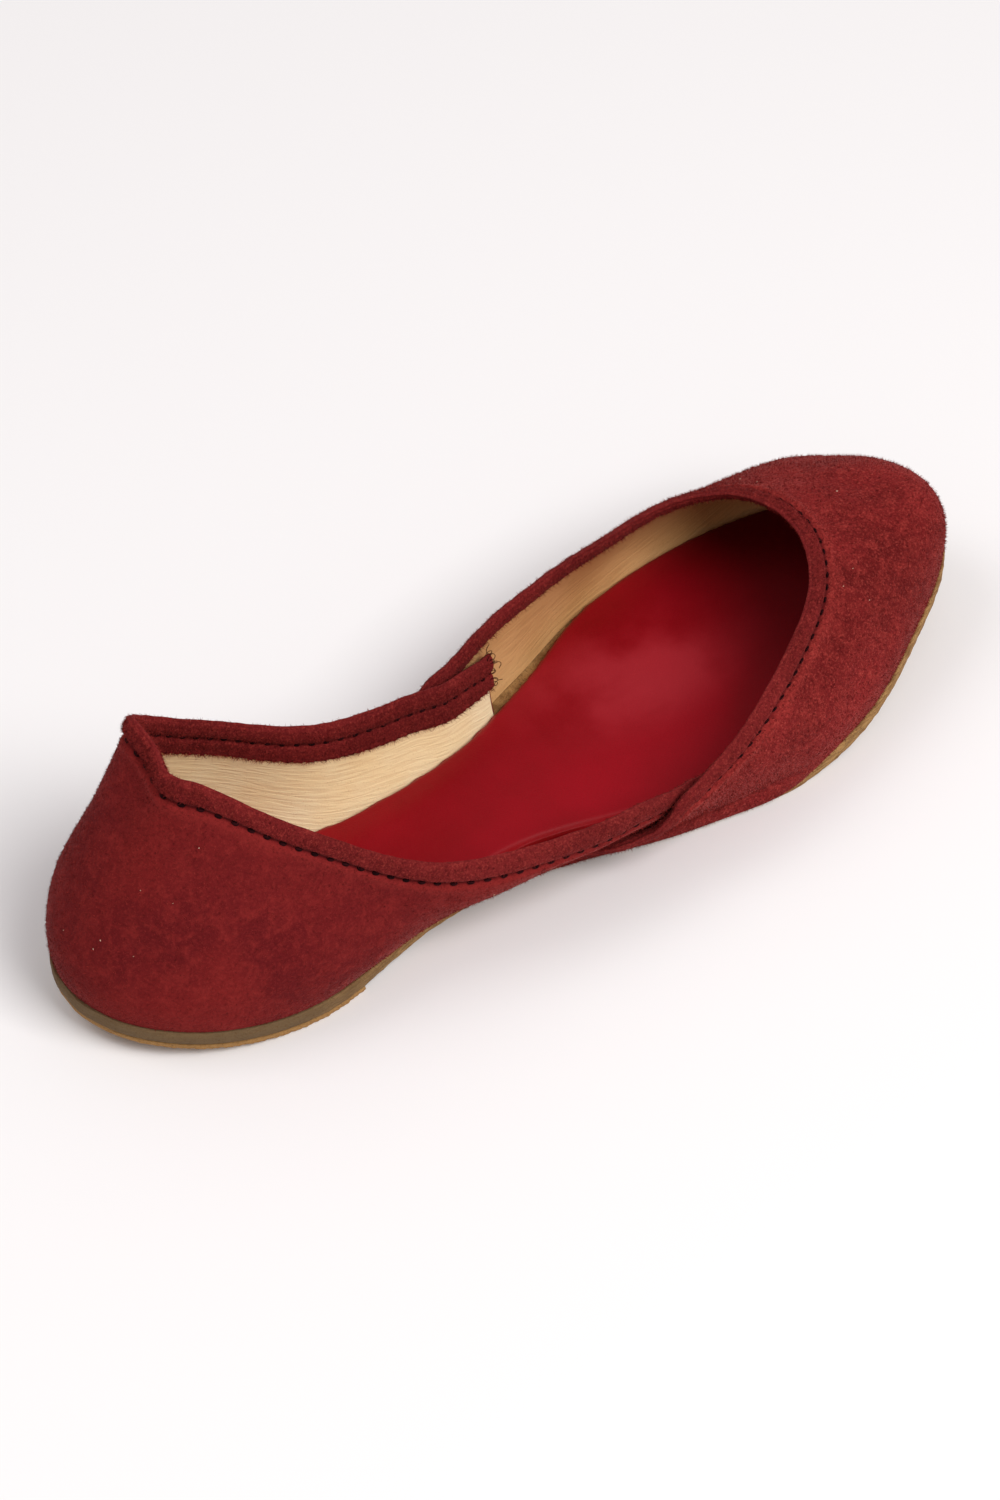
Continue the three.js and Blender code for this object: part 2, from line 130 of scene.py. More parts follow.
RIM = (
    RimRow(0.110, 0.06, HEEL, 1.00, HEEL, 14, 0.36),
    RimRow(0.106, -0.18, HEEL, 0.97, HEEL, 12, 0.36),
    RimRow(0.126, -0.38, HEEL, 0.95, HEEL, 12, 0.36),
    RimRow(0.192, -0.76, HEEL, 0.75, HEEL, 10, 0.38),
    RimRow(0.314, -1.58, WAIST, 1.01, WAIST, -6, 0.50),
    RimRow(0.448, -1.80, WAIST, 0.82, WAIST, -6, 0.50),
    RimRow(0.556, -0.91, BALL, 0.87, WAIST, 4, 0.40),
    RimRow(0.636, -0.79, BALL, 0.80, THROAT, 30, 0.36),
    RimRow(0.719, -0.59, BALL, 0.94, THROAT, 54, 0.36),
    RimRow(0.781, -0.32, BALL, 1.00, THROAT, 66, 0.36),
    RimRow(0.811, -0.04, BALL, 1.00, THROAT, 72, 0.36),
    RimRow(0.821, 0.20, BALL, 0.98, THROAT, 72, 0.36),
    RimRow(0.818, 0.44, BALL, 0.95, THROAT, 68, 0.36),
    RimRow(0.803, 0.68, BALL, 0.88, THROAT, 58, 0.36),
    RimRow(0.762, 0.89, BALL, 0.78, THROAT, 38, 0.36),
    RimRow(0.668, 0.86, BALL, 0.93, WAIST, 22, 0.36),
    RimRow(0.561, 0.66, BALL, 0.92, WAIST, 10, 0.36),
    RimRow(0.442, 0.72, WAIST, 0.89, WAIST, 4, 0.36),
    RimRow(0.314, 0.60, WAIST, 1.12, WAIST, 4, 0.36),
    RimRow(0.190, 0.56, HEEL, 0.75, HEEL, 8, 0.36),
    RimRow(0.126, 0.52, HEEL, 0.93, HEEL, 10, 0.36),
    RimRow(0.110, 0.36, HEEL, 1.02, HEEL, 12, 0.36),
)
QUARTER_REACH = (
    ReachRow(-5.64, 0.76),
    ReachRow(-5.2, 0.88),
    ReachRow(-4.6, 1.0),
    ReachRow(5.5, 1.0),
    ReachRow(6.1, 0.88),
    ReachRow(6.6, 0.74),
)
VAMP_REACH = (
    ReachRow(4.95, 0.24),
    ReachRow(5.45, 0.54),
    ReachRow(6.05, 0.95),
    ReachRow(6.45, 1.0),
    ReachRow(16.4, 1.0),
    ReachRow(16.9, 0.93),
    ReachRow(17.5, 0.5),
    ReachRow(18.0, 0.2),
)


def smooth(value: np.ndarray, low: float | np.ndarray, high: float | np.ndarray) -> np.ndarray:
    """Rises from 0 at low to 1 at high with level ends."""
    share = np.clip((value - low) / (high - low), 0, 1)
    return share * share * (3 - 2 * share)


def reach_at(rows: tuple[ReachRow, ...], station: np.ndarray) -> np.ndarray:
    """How high a piece stands at each station, eased from row to row.

    Args:
        rows: The piece's table of heights.
        station: Places round the last.

    Returns:
        Shares of the way up to the rim.
    """
    up = np.full(len(station), rows[0].up)
    for low, high in zip(rows, rows[1:]):
        up += (high.up - low.up) * smooth(station, low.station, high.station)
    return up


class Loop:
    """A closed centripetal curve through points, read by station."""

    def __init__(self, points: np.ndarray) -> None:
        """Keeps the curve's points, one to a row."""
        self.points = points

    def at(self, station: np.ndarray) -> np.ndarray:
        """The curve's points at stations, counted in rows of the table from its first.

        Args:
            station: Places along the curve, one whole number to a point.

        Returns:
            One point to a row.
        """
        count = len(self.points)
        turn = np.mod(station, count)
        first = np.floor(turn).astype(int)
        t = (turn - first)[:, None]
        a, b, c, d = (self.points[(first + step) % count] for step in (-1, 0, 1, 2))
        before, here, after = (
            np.sqrt(np.linalg.norm(q - p, axis=1))[:, None] for p, q in ((a, b), (b, c), (c, d))
        )
        start = here * ((b - a) / before - (c - a) / (before + here) + (c - b) / here)
        end = here * ((c - b) / here - (d - b) / (here + after) + (d - c) / after)
        return b + t * (start + t * (3 * (c - b) - 2 * start - end + t * (2 * (b - c) + start + end)))


class Outline:
    """The two sides of a closed curve round the sole, each read as its place across at a place along."""

    SAMPLES = 880

    def __init__(self, curve: Callable[[np.ndarray], np.ndarray]) -> None:
        """Samples the curve and splits it at its rear and front.

        Args:
            curve: Gives the closed curve's points at stations.
        """
        self.points = curve(np.linspace(0, len(FOOT), self.SAMPLES, endpoint=False))
        rear, front = int(self.points[:, 0].argmin()), int(self.points[:, 0].argmax())
        turned = np.roll(self.points, -rear, axis=0)
        split = (front - rear) % self.SAMPLES
        self._right = turned[: split + 1]
        self._left = np.vstack([turned[split:], turned[:1]])[::-1]
        self.rear = float(self.points[rear, 0])
        self.front = float(self.points[front, 0])

    def right(self, x: np.ndarray) -> np.ndarray:
        """The right side's place across."""
        return np.interp(x, self._right[:, 0], self._right[:, 1])

    def left(self, x: np.ndarray) -> np.ndarray:
        """The left side's place across."""
        return np.interp(x, self._left[:, 0], self._left[:, 1])

    def depth(self, x: np.ndarray, y: np.ndarray) -> np.ndarray:
        """How far each place lies from the curve."""
        gaps = (x[:, None] - self.points[None, :, 0]) ** 2 + (y[:, None] - self.points[None, :, 1]) ** 2
        return np.sqrt(gaps.min(axis=1))


@dataclass
class Last:
    """The foot's form that the shoe is built on, with the sizes that its solids follow."""

    length: float = 250
    widths: dict[Girth, float] = field(default_factory=lambda: {HEEL: 58, WAIST: 44, BALL: 82})
    heights: dict[Girth, float] = field(default_factory=lambda: {HEEL: 62, WAIST: 27, THROAT: 33})
    heel_spring: float = 5.5
    toe_spring: float = 15.5
    heel_power: float = 1.6
    toe_power: float = 1.7
    arch_rise: float = 3
    heel_flat: tuple[float, float] = (0.165, 0.232)
    ball_flat: tuple[float, float] = (0.6, 0.7)
    sole_thickness: float = 3.6
    lift_thickness: float = 1.8
    wall: float = 1.8
    binding_thickness: float = 0.5
    gap: float = 0.3
    sole_edge: float = 0.8
    lap_gap: float = 0.9
    level_blend: float = 0.4
    ease_stations: float = 1.6
    foot_blend: float = 0.25
    clear_stations: float = 0.1
    tangent_step: float = 0.03
    curve_steps: int = 64

    def __post_init__(self) -> None:
        """Makes the two closed curves of the tables and finds the last's place in the frame."""
        self._outline = Loop(self._plan(FOOT, [0.0] * len(FOOT)))
        self._rim = Loop(self._plan(RIM, [row.up * self.heights[row.up_of] for row in RIM]))
        edge = Outline(self.outline)
        low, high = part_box("outsole")
        middle = (edge.rear + edge.front) / 2
        self.shift = np.array([
            (low.x + high.x) / 2 / MM - middle,
            (low.y / MM) - float(edge.points[:, 1].min()),
            0.0,
        ])

    def _plan(self, rows: tuple[FootRow, ...] | tuple[RimRow, ...], heights: list[float]) -> np.ndarray:
        """The points of a table's rows at their heights.

        Args:
            rows: The table's rows.
            heights: A height for each row.

        Returns:
            One point to a row.
        """
        return np.array([
            (row.along * self.length, row.across * self.widths[row.of] / 2, z)
            for row, z in zip(rows, heights)
        ])

    @staticmethod
    def column(
        rows: tuple[FootRow, ...] | tuple[RimRow, ...],
        name: str,
        station: np.ndarray,
    ) -> np.ndarray:
        """A column of a table on a smooth closed curve through its rows.

        Args:
            rows: The table's rows.
            name: The column's name.
            station: Places round the last.

        Returns:
            The column's value at each station.
        """
        values = np.array([getattr(row, name) for row in rows], float)
        first = np.floor(station).astype(int)
        t = station - first
        a, b, c, d = (values[(first + step) % len(rows)] for step in (-1, 0, 1, 2))
        return b + 0.5 * t * (c - a + t * (2 * a - 5 * b + 4 * c - d + t * (3 * (b - c) + d - a)))

    def floor_rise(self, x: np.ndarray) -> np.ndarray:
        """Height of the shoe's underside over the floor.

        Args:
            x: Distances along the shoe.

        Returns:
            Heights in millimetres.
        """
        share = np.clip(x / self.length, 0, 1)
        heel = np.clip(1 - share / self.heel_flat[0], 0, 1) ** self.heel_power
        toe = np.clip((share - self.ball_flat[1]) / (1 - self.ball_flat[1]), 0, 1) ** self.toe_power
        return self.heel_spring * heel + self.toe_spring * toe

    def sole_bottom(self, x: np.ndarray) -> np.ndarray:
        """Height of the outsole's underside, which rides on the lift and comes down past the arch.

        Args:
            x: Distances along the shoe.

        Returns:
            Heights in millimetres.
        """
        share = x / self.length
        start, end = self.heel_flat[1], self.ball_flat[0]
        on_lift = (self.lift_thickness + self.gap) * (1 - smooth(share, start, end))
        arch = np.sin(np.pi * np.clip((share - start) / (end - start), 0, 1)) ** 2
        return self.floor_rise(x) + on_lift + self.arch_rise * arch

    def sole_top(self, x: np.ndarray) -> np.ndarray:
        """Height of the outsole's upper face."""
        return self.sole_bottom(x) + self.sole_thickness

    def outline(self, station: np.ndarray) -> np.ndarray:
        """The outsole's outline."""
        return self._outline.at(station)

    def outward(self, station: np.ndarray) -> np.ndarray:
        """Level direction out of the last.

        Args:
            station: Places round the last.

        Returns:
            Level ways at length 1.
        """
        along = self.outline(station + self.tangent_step) - self.outline(station - self.tangent_step)
        way = np.stack([along[:, 1], -along[:, 0], np.zeros(len(along))], 1)
        return way / np.linalg.norm(way, axis=1)[:, None]

    def vamp_stand(self, station: np.ndarray) -> np.ndarray:
        """How far the vamp stands off the last, to clear the bound quarter inside it.

        Args:
            station: Places round the last.

        Returns:
            Distances off the last.
        """
        clearance = self.wall + self.binding_thickness + self.lap_gap
        near_end = QUARTER_REACH[-1].station + self.clear_stations
        far_end = len(FOOT) + QUARTER_REACH[0].station - self.clear_stations
        near = 1 - smooth(station, near_end, near_end + self.ease_stations)
        far = smooth(station, far_end - self.ease_stations, far_end)
        return clearance * np.maximum(near, far)

    def foot_line(self, station: np.ndarray) -> np.ndarray:
        """Where the last's surface meets the sole, inside its outline by the upper and the sole's edge.

        Args:
            station: Places round the last.

        Returns:
            Points of the line, one to a row.
        """
        turn = np.mod(station, len(FOOT))
        start, end = VAMP_REACH[0].station, VAMP_REACH[-1].station
        in_vamp = smooth(turn, start - 1, start) * (1 - smooth(turn, end, end + 1))
        inset = self.wall + in_vamp * self.vamp_stand(turn) + self.sole_edge
        point = self.outline(station) - self.outward(station) * inset[:, None]
        point[:, 2] = self.sole_top(point[:, 0]) + self.gap
        return point

    def _cross(self, station: np.ndarray) -> np.ndarray:
        """The four control points of the cross curve at each station, from the foot line up to the rim.

        Args:
            station: Places round the last.

        Returns:
            Four control points for each station.
        """
        start = self.foot_line(station)
        end = self._rim.at(station)
        end[:, 2] += self.sole_top(end[:, 0]) + self.gap
        out = self.outward(station)
        up = np.array([0.0, 0.0, 1.0])
        flare = np.radians(self.column(FOOT, "flare", station))[:, None]
        crown = np.radians(self.column(RIM, "crown", station))[:, None]
        lift = self.column(FOOT, "lift", station)[:, None]
        drop = self.column(RIM, "drop", station)[:, None]
        reach = np.linalg.norm(end - start, axis=1)[:, None]
        level = (start - end) * (1 - up) + out * self.level_blend * reach
        level /= np.linalg.norm(level, axis=1)[:, None]
        foot_way = out * np.sin(flare) + up * np.cos(flare)
        rim_way = level * np.sin(crown) - up * np.cos(crown)
        return np.stack([start, start + foot_way * lift * reach, end + rim_way * drop * reach, end], 1)

    @staticmethod
    def _bezier(controls: np.ndarray, t: np.ndarray) -> np.ndarray:
        """Points of cubic curves at their places along, which broadcast over the controls.

        Args:
            controls: Four control points to a curve.
            t: Places along, from 0 to 1.

        Returns:
            The points.
        """
        a, b, c, d = (controls[..., i, :] for i in range(4))
        t, s = t[..., None], 1 - t[..., None]
        return s**3 * a + 3 * s * s * t * b + 3 * s * t * t * c + t**3 * d

    def _walked(self, station: np.ndarray) -> tuple[np.ndarray, np.ndarray, np.ndarray]:
        """The cross curves at distinct stations, the length walked along each and every station's own.

        Args:
            station: Places round the last.

        Returns:
            Control points and walked lengths, one row to a distinct station, and each station's row.
        """
        distinct, place = np.unique(np.round(station, 4), return_inverse=True)
        controls = self._cross(distinct)
        t = np.linspace(0, 1, self.curve_steps + 1)
        points = self._bezier(controls[:, None], np.broadcast_to(t, (len(distinct), len(t))))
        steps = np.linalg.norm(np.diff(points, axis=1), axis=2)
        walked = np.concatenate([np.zeros((len(distinct), 1)), np.cumsum(steps, axis=1)], 1)
        return controls, walked, place

    def girth(self, station: np.ndarray) -> np.ndarray:
        """Length of the cross curve from the foot line to the rim."""
        _, walked, place = self._walked(station)
        return walked[place, -1]

    def surface(self, station: np.ndarray, up: np.ndarray) -> np.ndarray:
        """Points of the last's surface, up each cross curve by a share of its length.

        Args:
            station: Places round the last.
            up: Shares of the way up to the rim.

        Returns:
            One point to a row.
        """
        controls, walked, place = self._walked(station)
        run = walked[place]
        target = np.clip(up, 0, 1) * run[:, -1]
        step = np.clip((run < target[:, None]).sum(axis=1), 1, self.curve_steps)
        rows = np.arange(len(station))
        low, high = run[rows, step - 1], run[rows, step]
        t = (step - 1 + (target - low) / (high - low)) / self.curve_steps
        return self._bezier(controls[place], np.clip(t, 0, 1))

    def placed(self, station: np.ndarray, up: np.ndarray) -> tuple[np.ndarray, np.ndarray, np.ndarray]:
        """Points of the last's surface with the way out of it and the way along it.

        Args:
            station: Places round the last.
            up: Shares of the way up to the rim.

        Returns:
            Points, normals and tangents, one to a row.
        """
        here, step = np.clip(up, 0, 1), self.tangent_step
        point = self.surface(station, here)
        along = self.surface(station + step, here) - self.surface(station - step, here)
        above, below = np.minimum(here + step, 1), np.maximum(here - step, 0)
        rise = self.surface(station, above) - self.surface(station, below)
        normal = np.cross(along, rise)
        normal /= np.linalg.norm(normal, axis=1)[:, None]
        blend = smooth(here, 0, self.foot_blend)[:, None]
        normal = self.outward(station) * (1 - blend) + normal * blend
        normal /= np.linalg.norm(normal, axis=1)[:, None]
        return point, normal, along / np.linalg.norm(along, axis=1)[:, None]

    def framed(self, points: np.ndarray) -> np.ndarray:
        """Carries points from the last's own millimetres to the frame's metres."""
        return (points + self.shift) * MM


def deselect_all() -> None:
    """Leaves edit mode and selects nothing."""
    if bpy.context.mode != "OBJECT":
        bpy.ops.object.mode_set(mode="OBJECT")
    bpy.ops.object.select_all(action="DESELECT")


def activate(piece: bpy.types.Object) -> None:
    """Selects one piece alone and makes it active.

    Args:
        piece: The piece.
    """
    deselect_all()
    piece.select_set(True)
    bpy.context.view_layer.objects.active = piece


def named_active(name: str) -> bpy.types.Object:
    """Names the primitive that was added last, and its mesh.

    Args:
        name: Its name.

    Returns:
        The named piece.
    """
    piece = bpy.context.object
    piece.name = name
    piece.data.name = name
    return piece


def add_slab(name: str, columns: int, rows: int, layers: int = 1) -> bpy.types.Object:
    """A closed block of squares: a grid over the unit square, extruded upwards a layer at a time.

    Args:
        name: The piece's name.
        columns: Squares along X.
        rows: Squares along Y.
        layers: Squares along Z, each 1 high.

    Returns:
        The block, still at the origin.
    """
    deselect_all()
    bpy.ops.mesh.primitive_grid_add(x_subdivisions=columns, y_subdivisions=rows, size=1, location=(0, 0, 0))
    piece = named_active(name)
    bpy.ops.object.mode_set(mode="EDIT")
    bpy.ops.mesh.select_all(action="SELECT")
    for _ in range(layers):
        bpy.ops.mesh.extrude_region_move(TRANSFORM_OT_translate={"value": (0, 0, 1)})
    bpy.ops.mesh.select_all(action="SELECT")
    bpy.ops.mesh.normals_make_consistent(inside=False)
    bpy.ops.object.mode_set(mode="OBJECT")
    return piece


def shares_of(piece: bpy.types.Object, layers: int = 1) -> tuple[np.ndarray, np.ndarray, np.ndarray]:
    """Each vertex of an uncarried slab as shares along X, Y and Z, from 0 to 1.

    Args:
        piece: The slab.
        layers: Its squares along Z.

    Returns:
        The three shares of each vertex.
    """
    co = np.empty(len(piece.data.vertices) * 3)
    piece.data.vertices.foreach_get("co", co)
    co = co.reshape(-1, 3)
    return np.clip(co[:, 0] + 0.5, 0, 1), np.clip(co[:, 1] + 0.5, 0, 1), np.clip(co[:, 2] / layers, 0, 1)


def write_points(piece: bpy.types.Object, points: np.ndarray) -> None:
    """Moves a piece's vertices to points in the frame, in metres."""
    piece.data.vertices.foreach_set("co", points.astype(np.float32).ravel())
    piece.data.update()


def write_map(piece: bpy.types.Object, name: str, across: np.ndarray, up: np.ndarray) -> None:
    """Gives a piece a map with a pair of millimetres at each vertex.

    Args:
        piece: The mesh piece.
        name: The map's name.
        across: First coordinate of each vertex.
        up: Second coordinate of each vertex.
    """
    layer = piece.data.uv_layers.get(name) or piece.data.uv_layers.new(name=name)
    corner = np.empty(len(piece.data.loops), int)
    piece.data.loops.foreach_get("vertex_index", corner)
    layer.data.foreach_set("uv", np.stack([across[corner], up[corner]], 1).astype(np.float32).ravel())


def finish_piece(
    piece: bpy.types.Object,
    material: bpy.types.Material,
    angle: float = 40,
) -> None:
    """Merges a piece's doubles, turns its faces out, smooths it and fastens it to the shoe's body.

    Args:
        piece: The modelled piece.
        material: Its finish.
        angle: Edges sharper than this many degrees stay sharp.
    """
    activate(piece)
    bpy.ops.object.mode_set(mode="EDIT")
    bpy.ops.mesh.select_all(action="SELECT")
    bpy.ops.mesh.remove_doubles(threshold=MERGE_WITHIN)
    bpy.ops.mesh.normals_make_consistent(inside=False)
    bpy.ops.object.mode_set(mode="OBJECT")
    bpy.ops.object.shade_smooth_by_angle(angle=math.radians(angle))
    piece.data.materials.clear()
    piece.data.materials.append(material)
    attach(piece, BODY)
    log.info("%s: %d faces", piece.name, len(piece.data.polygons))


def linear(colour: str) -> tuple[float, float, float, float]:
    """Turns an sRGB hex colour to linear red, green and blue, with full alpha.

    Args:
        colour: The colour as #rrggbb.

    Returns:
        Red, green, blue and alpha, from 0 to 1.
    """
    shares = [int(colour[i : i + 2], 16) / 255 for i in (1, 3, 5)]
    red, green, blue = (s / 12.92 if s <= 0.04045 else ((s + 0.055) / 1.055) ** 2.4 for s in shares)
    return red, green, blue, 1.0


def per_metre(size: float) -> float:
    """A pattern's scale on coordinates in metres, from the size of its forms in millimetres."""
    return 1 / (size * MM)


def add_node(
    tree: bpy.types.NodeTree,
    kind: str,
    inputs: dict[str | int, object] | None = None,
    **settings: object,
) -> bpy.types.Node:
    """Adds a shader node with its settings, its values and its links.

    Args:
        tree: The material's node tree.
        kind: The node's type without its ShaderNode prefix.
        inputs: Value or linked output for each named or numbered input.
        settings: The node's own properties.

    Returns:
        The new node.
    """
    node = tree.nodes.new("ShaderNode" + kind)
    for name, value in settings.items():
        setattr(node, name, value)
    for name, value in (inputs or {}).items():
        if isinstance(value, bpy.types.NodeSocket):
            tree.links.new(value, node.inputs[name])
        else:
            node.inputs[name].default_value = value
    return node


def new_material(name: str) -> tuple[bpy.types.Material, bpy.types.NodeTree]:
    """An empty material with nodes, and its tree.

    Args:
        name: Its name.

    Returns:
        The material and its node tree.
    """
    material = bpy.data.materials.new(name)
    material.use_nodes = True
    material.node_tree.nodes.clear()
    return material, material.node_tree


# Numbers of a Mix node's two colour inputs and of its colour output
MIX_A, MIX_B, MIX_RESULT = 6, 7, 2


@dataclass(frozen=True)
class Suede:
    """Dyed goat suede, split and buffed, so that its nap stands up and scatters light without any gloss.

    The real nap is about 0.1 mm across. Its grain is drawn at half a millimetre and more, so that it shows.
    """

    name: str
    pile: str
    shade: str
    brushed: str
    speck: str
    pit: str
    # Painted shade: darker along the seam's groove, and on the strip along its seams and raw edge
    painted_seam_shade: str = "#3c0d10"
    haze: str = "#d08680"
    patch: float = 26
    nap: float = 3.6
    grain: float = 0.62
    raised: float = 0.75
    speckle: float = 0.7
    bump: float = 0.34
    # Painted highlight: a brighter band just under the seam, where the plump leather bulges
    painted_highlight_band: tuple[float, float, float, float] = (-5.0, -1.7, -1.1, -0.4)
    painted_seam_highlight: float = 0.0
    seam_shade_range: tuple[float, float] = (0.75, 0.2)
    seam_shade_most: float = 0.6
    sheen: float = 0.32

    def material(self) -> bpy.types.Material:
        """The suede with patches where the nap lies another way, a painted highlight just under the seam
        and painted shade along it.

        Returns:
            The finished material.
        """
        material, tree = new_material(self.name)
        place = add_node(tree, "TexCoord").outputs["Object"]
        patches, nap, grain = (
            add_node(tree, "TexNoise", {"Vector": place, "Scale": per_metre(size), **look})
            for size, look in (
                (self.patch, {"Detail": 3.0}),
                (self.nap, {"Detail": 5.0, "Roughness": 0.62, "Distortion": 0.7}),
                (self.grain, {"Detail": 3.0, "Roughness": 0.7}),
            )
        )
        lie, raised, speck, pit = (
            add_node(tree, "MapRange", {0: noise.outputs[0], 1: start, 2: end, 4: most})
            for noise, start, end, most in (
                (patches, 0.36, 0.64, 1.0),
                (nap, 0.46, 0.74, self.raised),
                (grain, 0.52, 0.70, self.speckle),
                (grain, 0.48, 0.30, self.speckle),
            )
        )
        wrap = add_node(tree, "UVMap", uv_map="Wrap").outputs[0]
        seam = add_node(tree, "SeparateXYZ", {0: wrap}).outputs[1]
        off_seam = add_node(tree, "Math", {0: seam}, operation="ABSOLUTE").outputs[0]
        low, bright, fading, dark = self.painted_highlight_band
        rising, falling, line = (
            add_node(tree, "MapRange", {0: rise, 1: start, 2: end, 4: most},
                     interpolation_type="SMOOTHSTEP")
            for rise, start, end, most in (
                (seam, low, bright, 1.0),
                (seam, dark, fading, self.painted_seam_highlight),
                (off_seam, *self.seam_shade_range, self.seam_shade_most),
            )
        )
        painted_highlight = add_node(tree, "Math", {0: rising.outputs[0], 1: falling.outputs[0]}, operation="MULTIPLY")
        colour = linear(self.shade)
        for amount, tint in (
            (lie, self.pile),
            (raised, self.brushed),
            # Painted highlight under the seam
            (painted_highlight, self.brushed),
            (speck, self.speck),
            (pit, self.pit),
            # Painted shade along the seam's groove and the strip's seams and edge
            (line, self.painted_seam_shade),
        ):
            colour = add_node(tree, "Mix", {0: amount.outputs[0], MIX_A: colour, MIX_B: linear(tint)},
                              data_type="RGBA").outputs[MIX_RESULT]
        relief = add_node(tree, "Math", {0: nap.outputs[0], 1: 0.6, 2: grain.outputs[0]},
                          operation="MULTIPLY_ADD")
        bump = add_node(tree, "Bump", {
            "Height": relief.outputs[0], "Strength": 0.85, "Distance": self.bump * MM,
        })
        shader = add_node(tree, "BsdfPrincipled", {
            "Base Color": colour,
            "Roughness": 0.94,
            "Specular IOR Level": 0.06,
            "Sheen Weight": self.sheen,
            "Sheen Roughness": 0.3,
            "Sheen Tint": linear(self.haze),
            "Normal": bump.outputs[0],
        })
        add_node(tree, "OutputMaterial", {"Surface": shader.outputs[0]})
        return material


@dataclass(frozen=True)
class PaintedLight:
    """Painted light on a finished leather: a painted sheen, paler over one soft spot, and painted shade,
    darker towards the toes.

    Places and reaches are in metres along and across the shoe.
    """

    # The painted sheen: its colour, middle, reach and strength
    painted_sheen: str
    painted_sheen_at: tuple[float, float]
    painted_sheen_reach: tuple[float, float]
    painted_sheen_most: float
    # The painted shade towards the toes: its colour, where it starts and ends along the shoe, and its
    # strength
    painted_toe_shade: str
    toe_shade_from: float
    toe_shade_to: float
    toe_shade_most: float


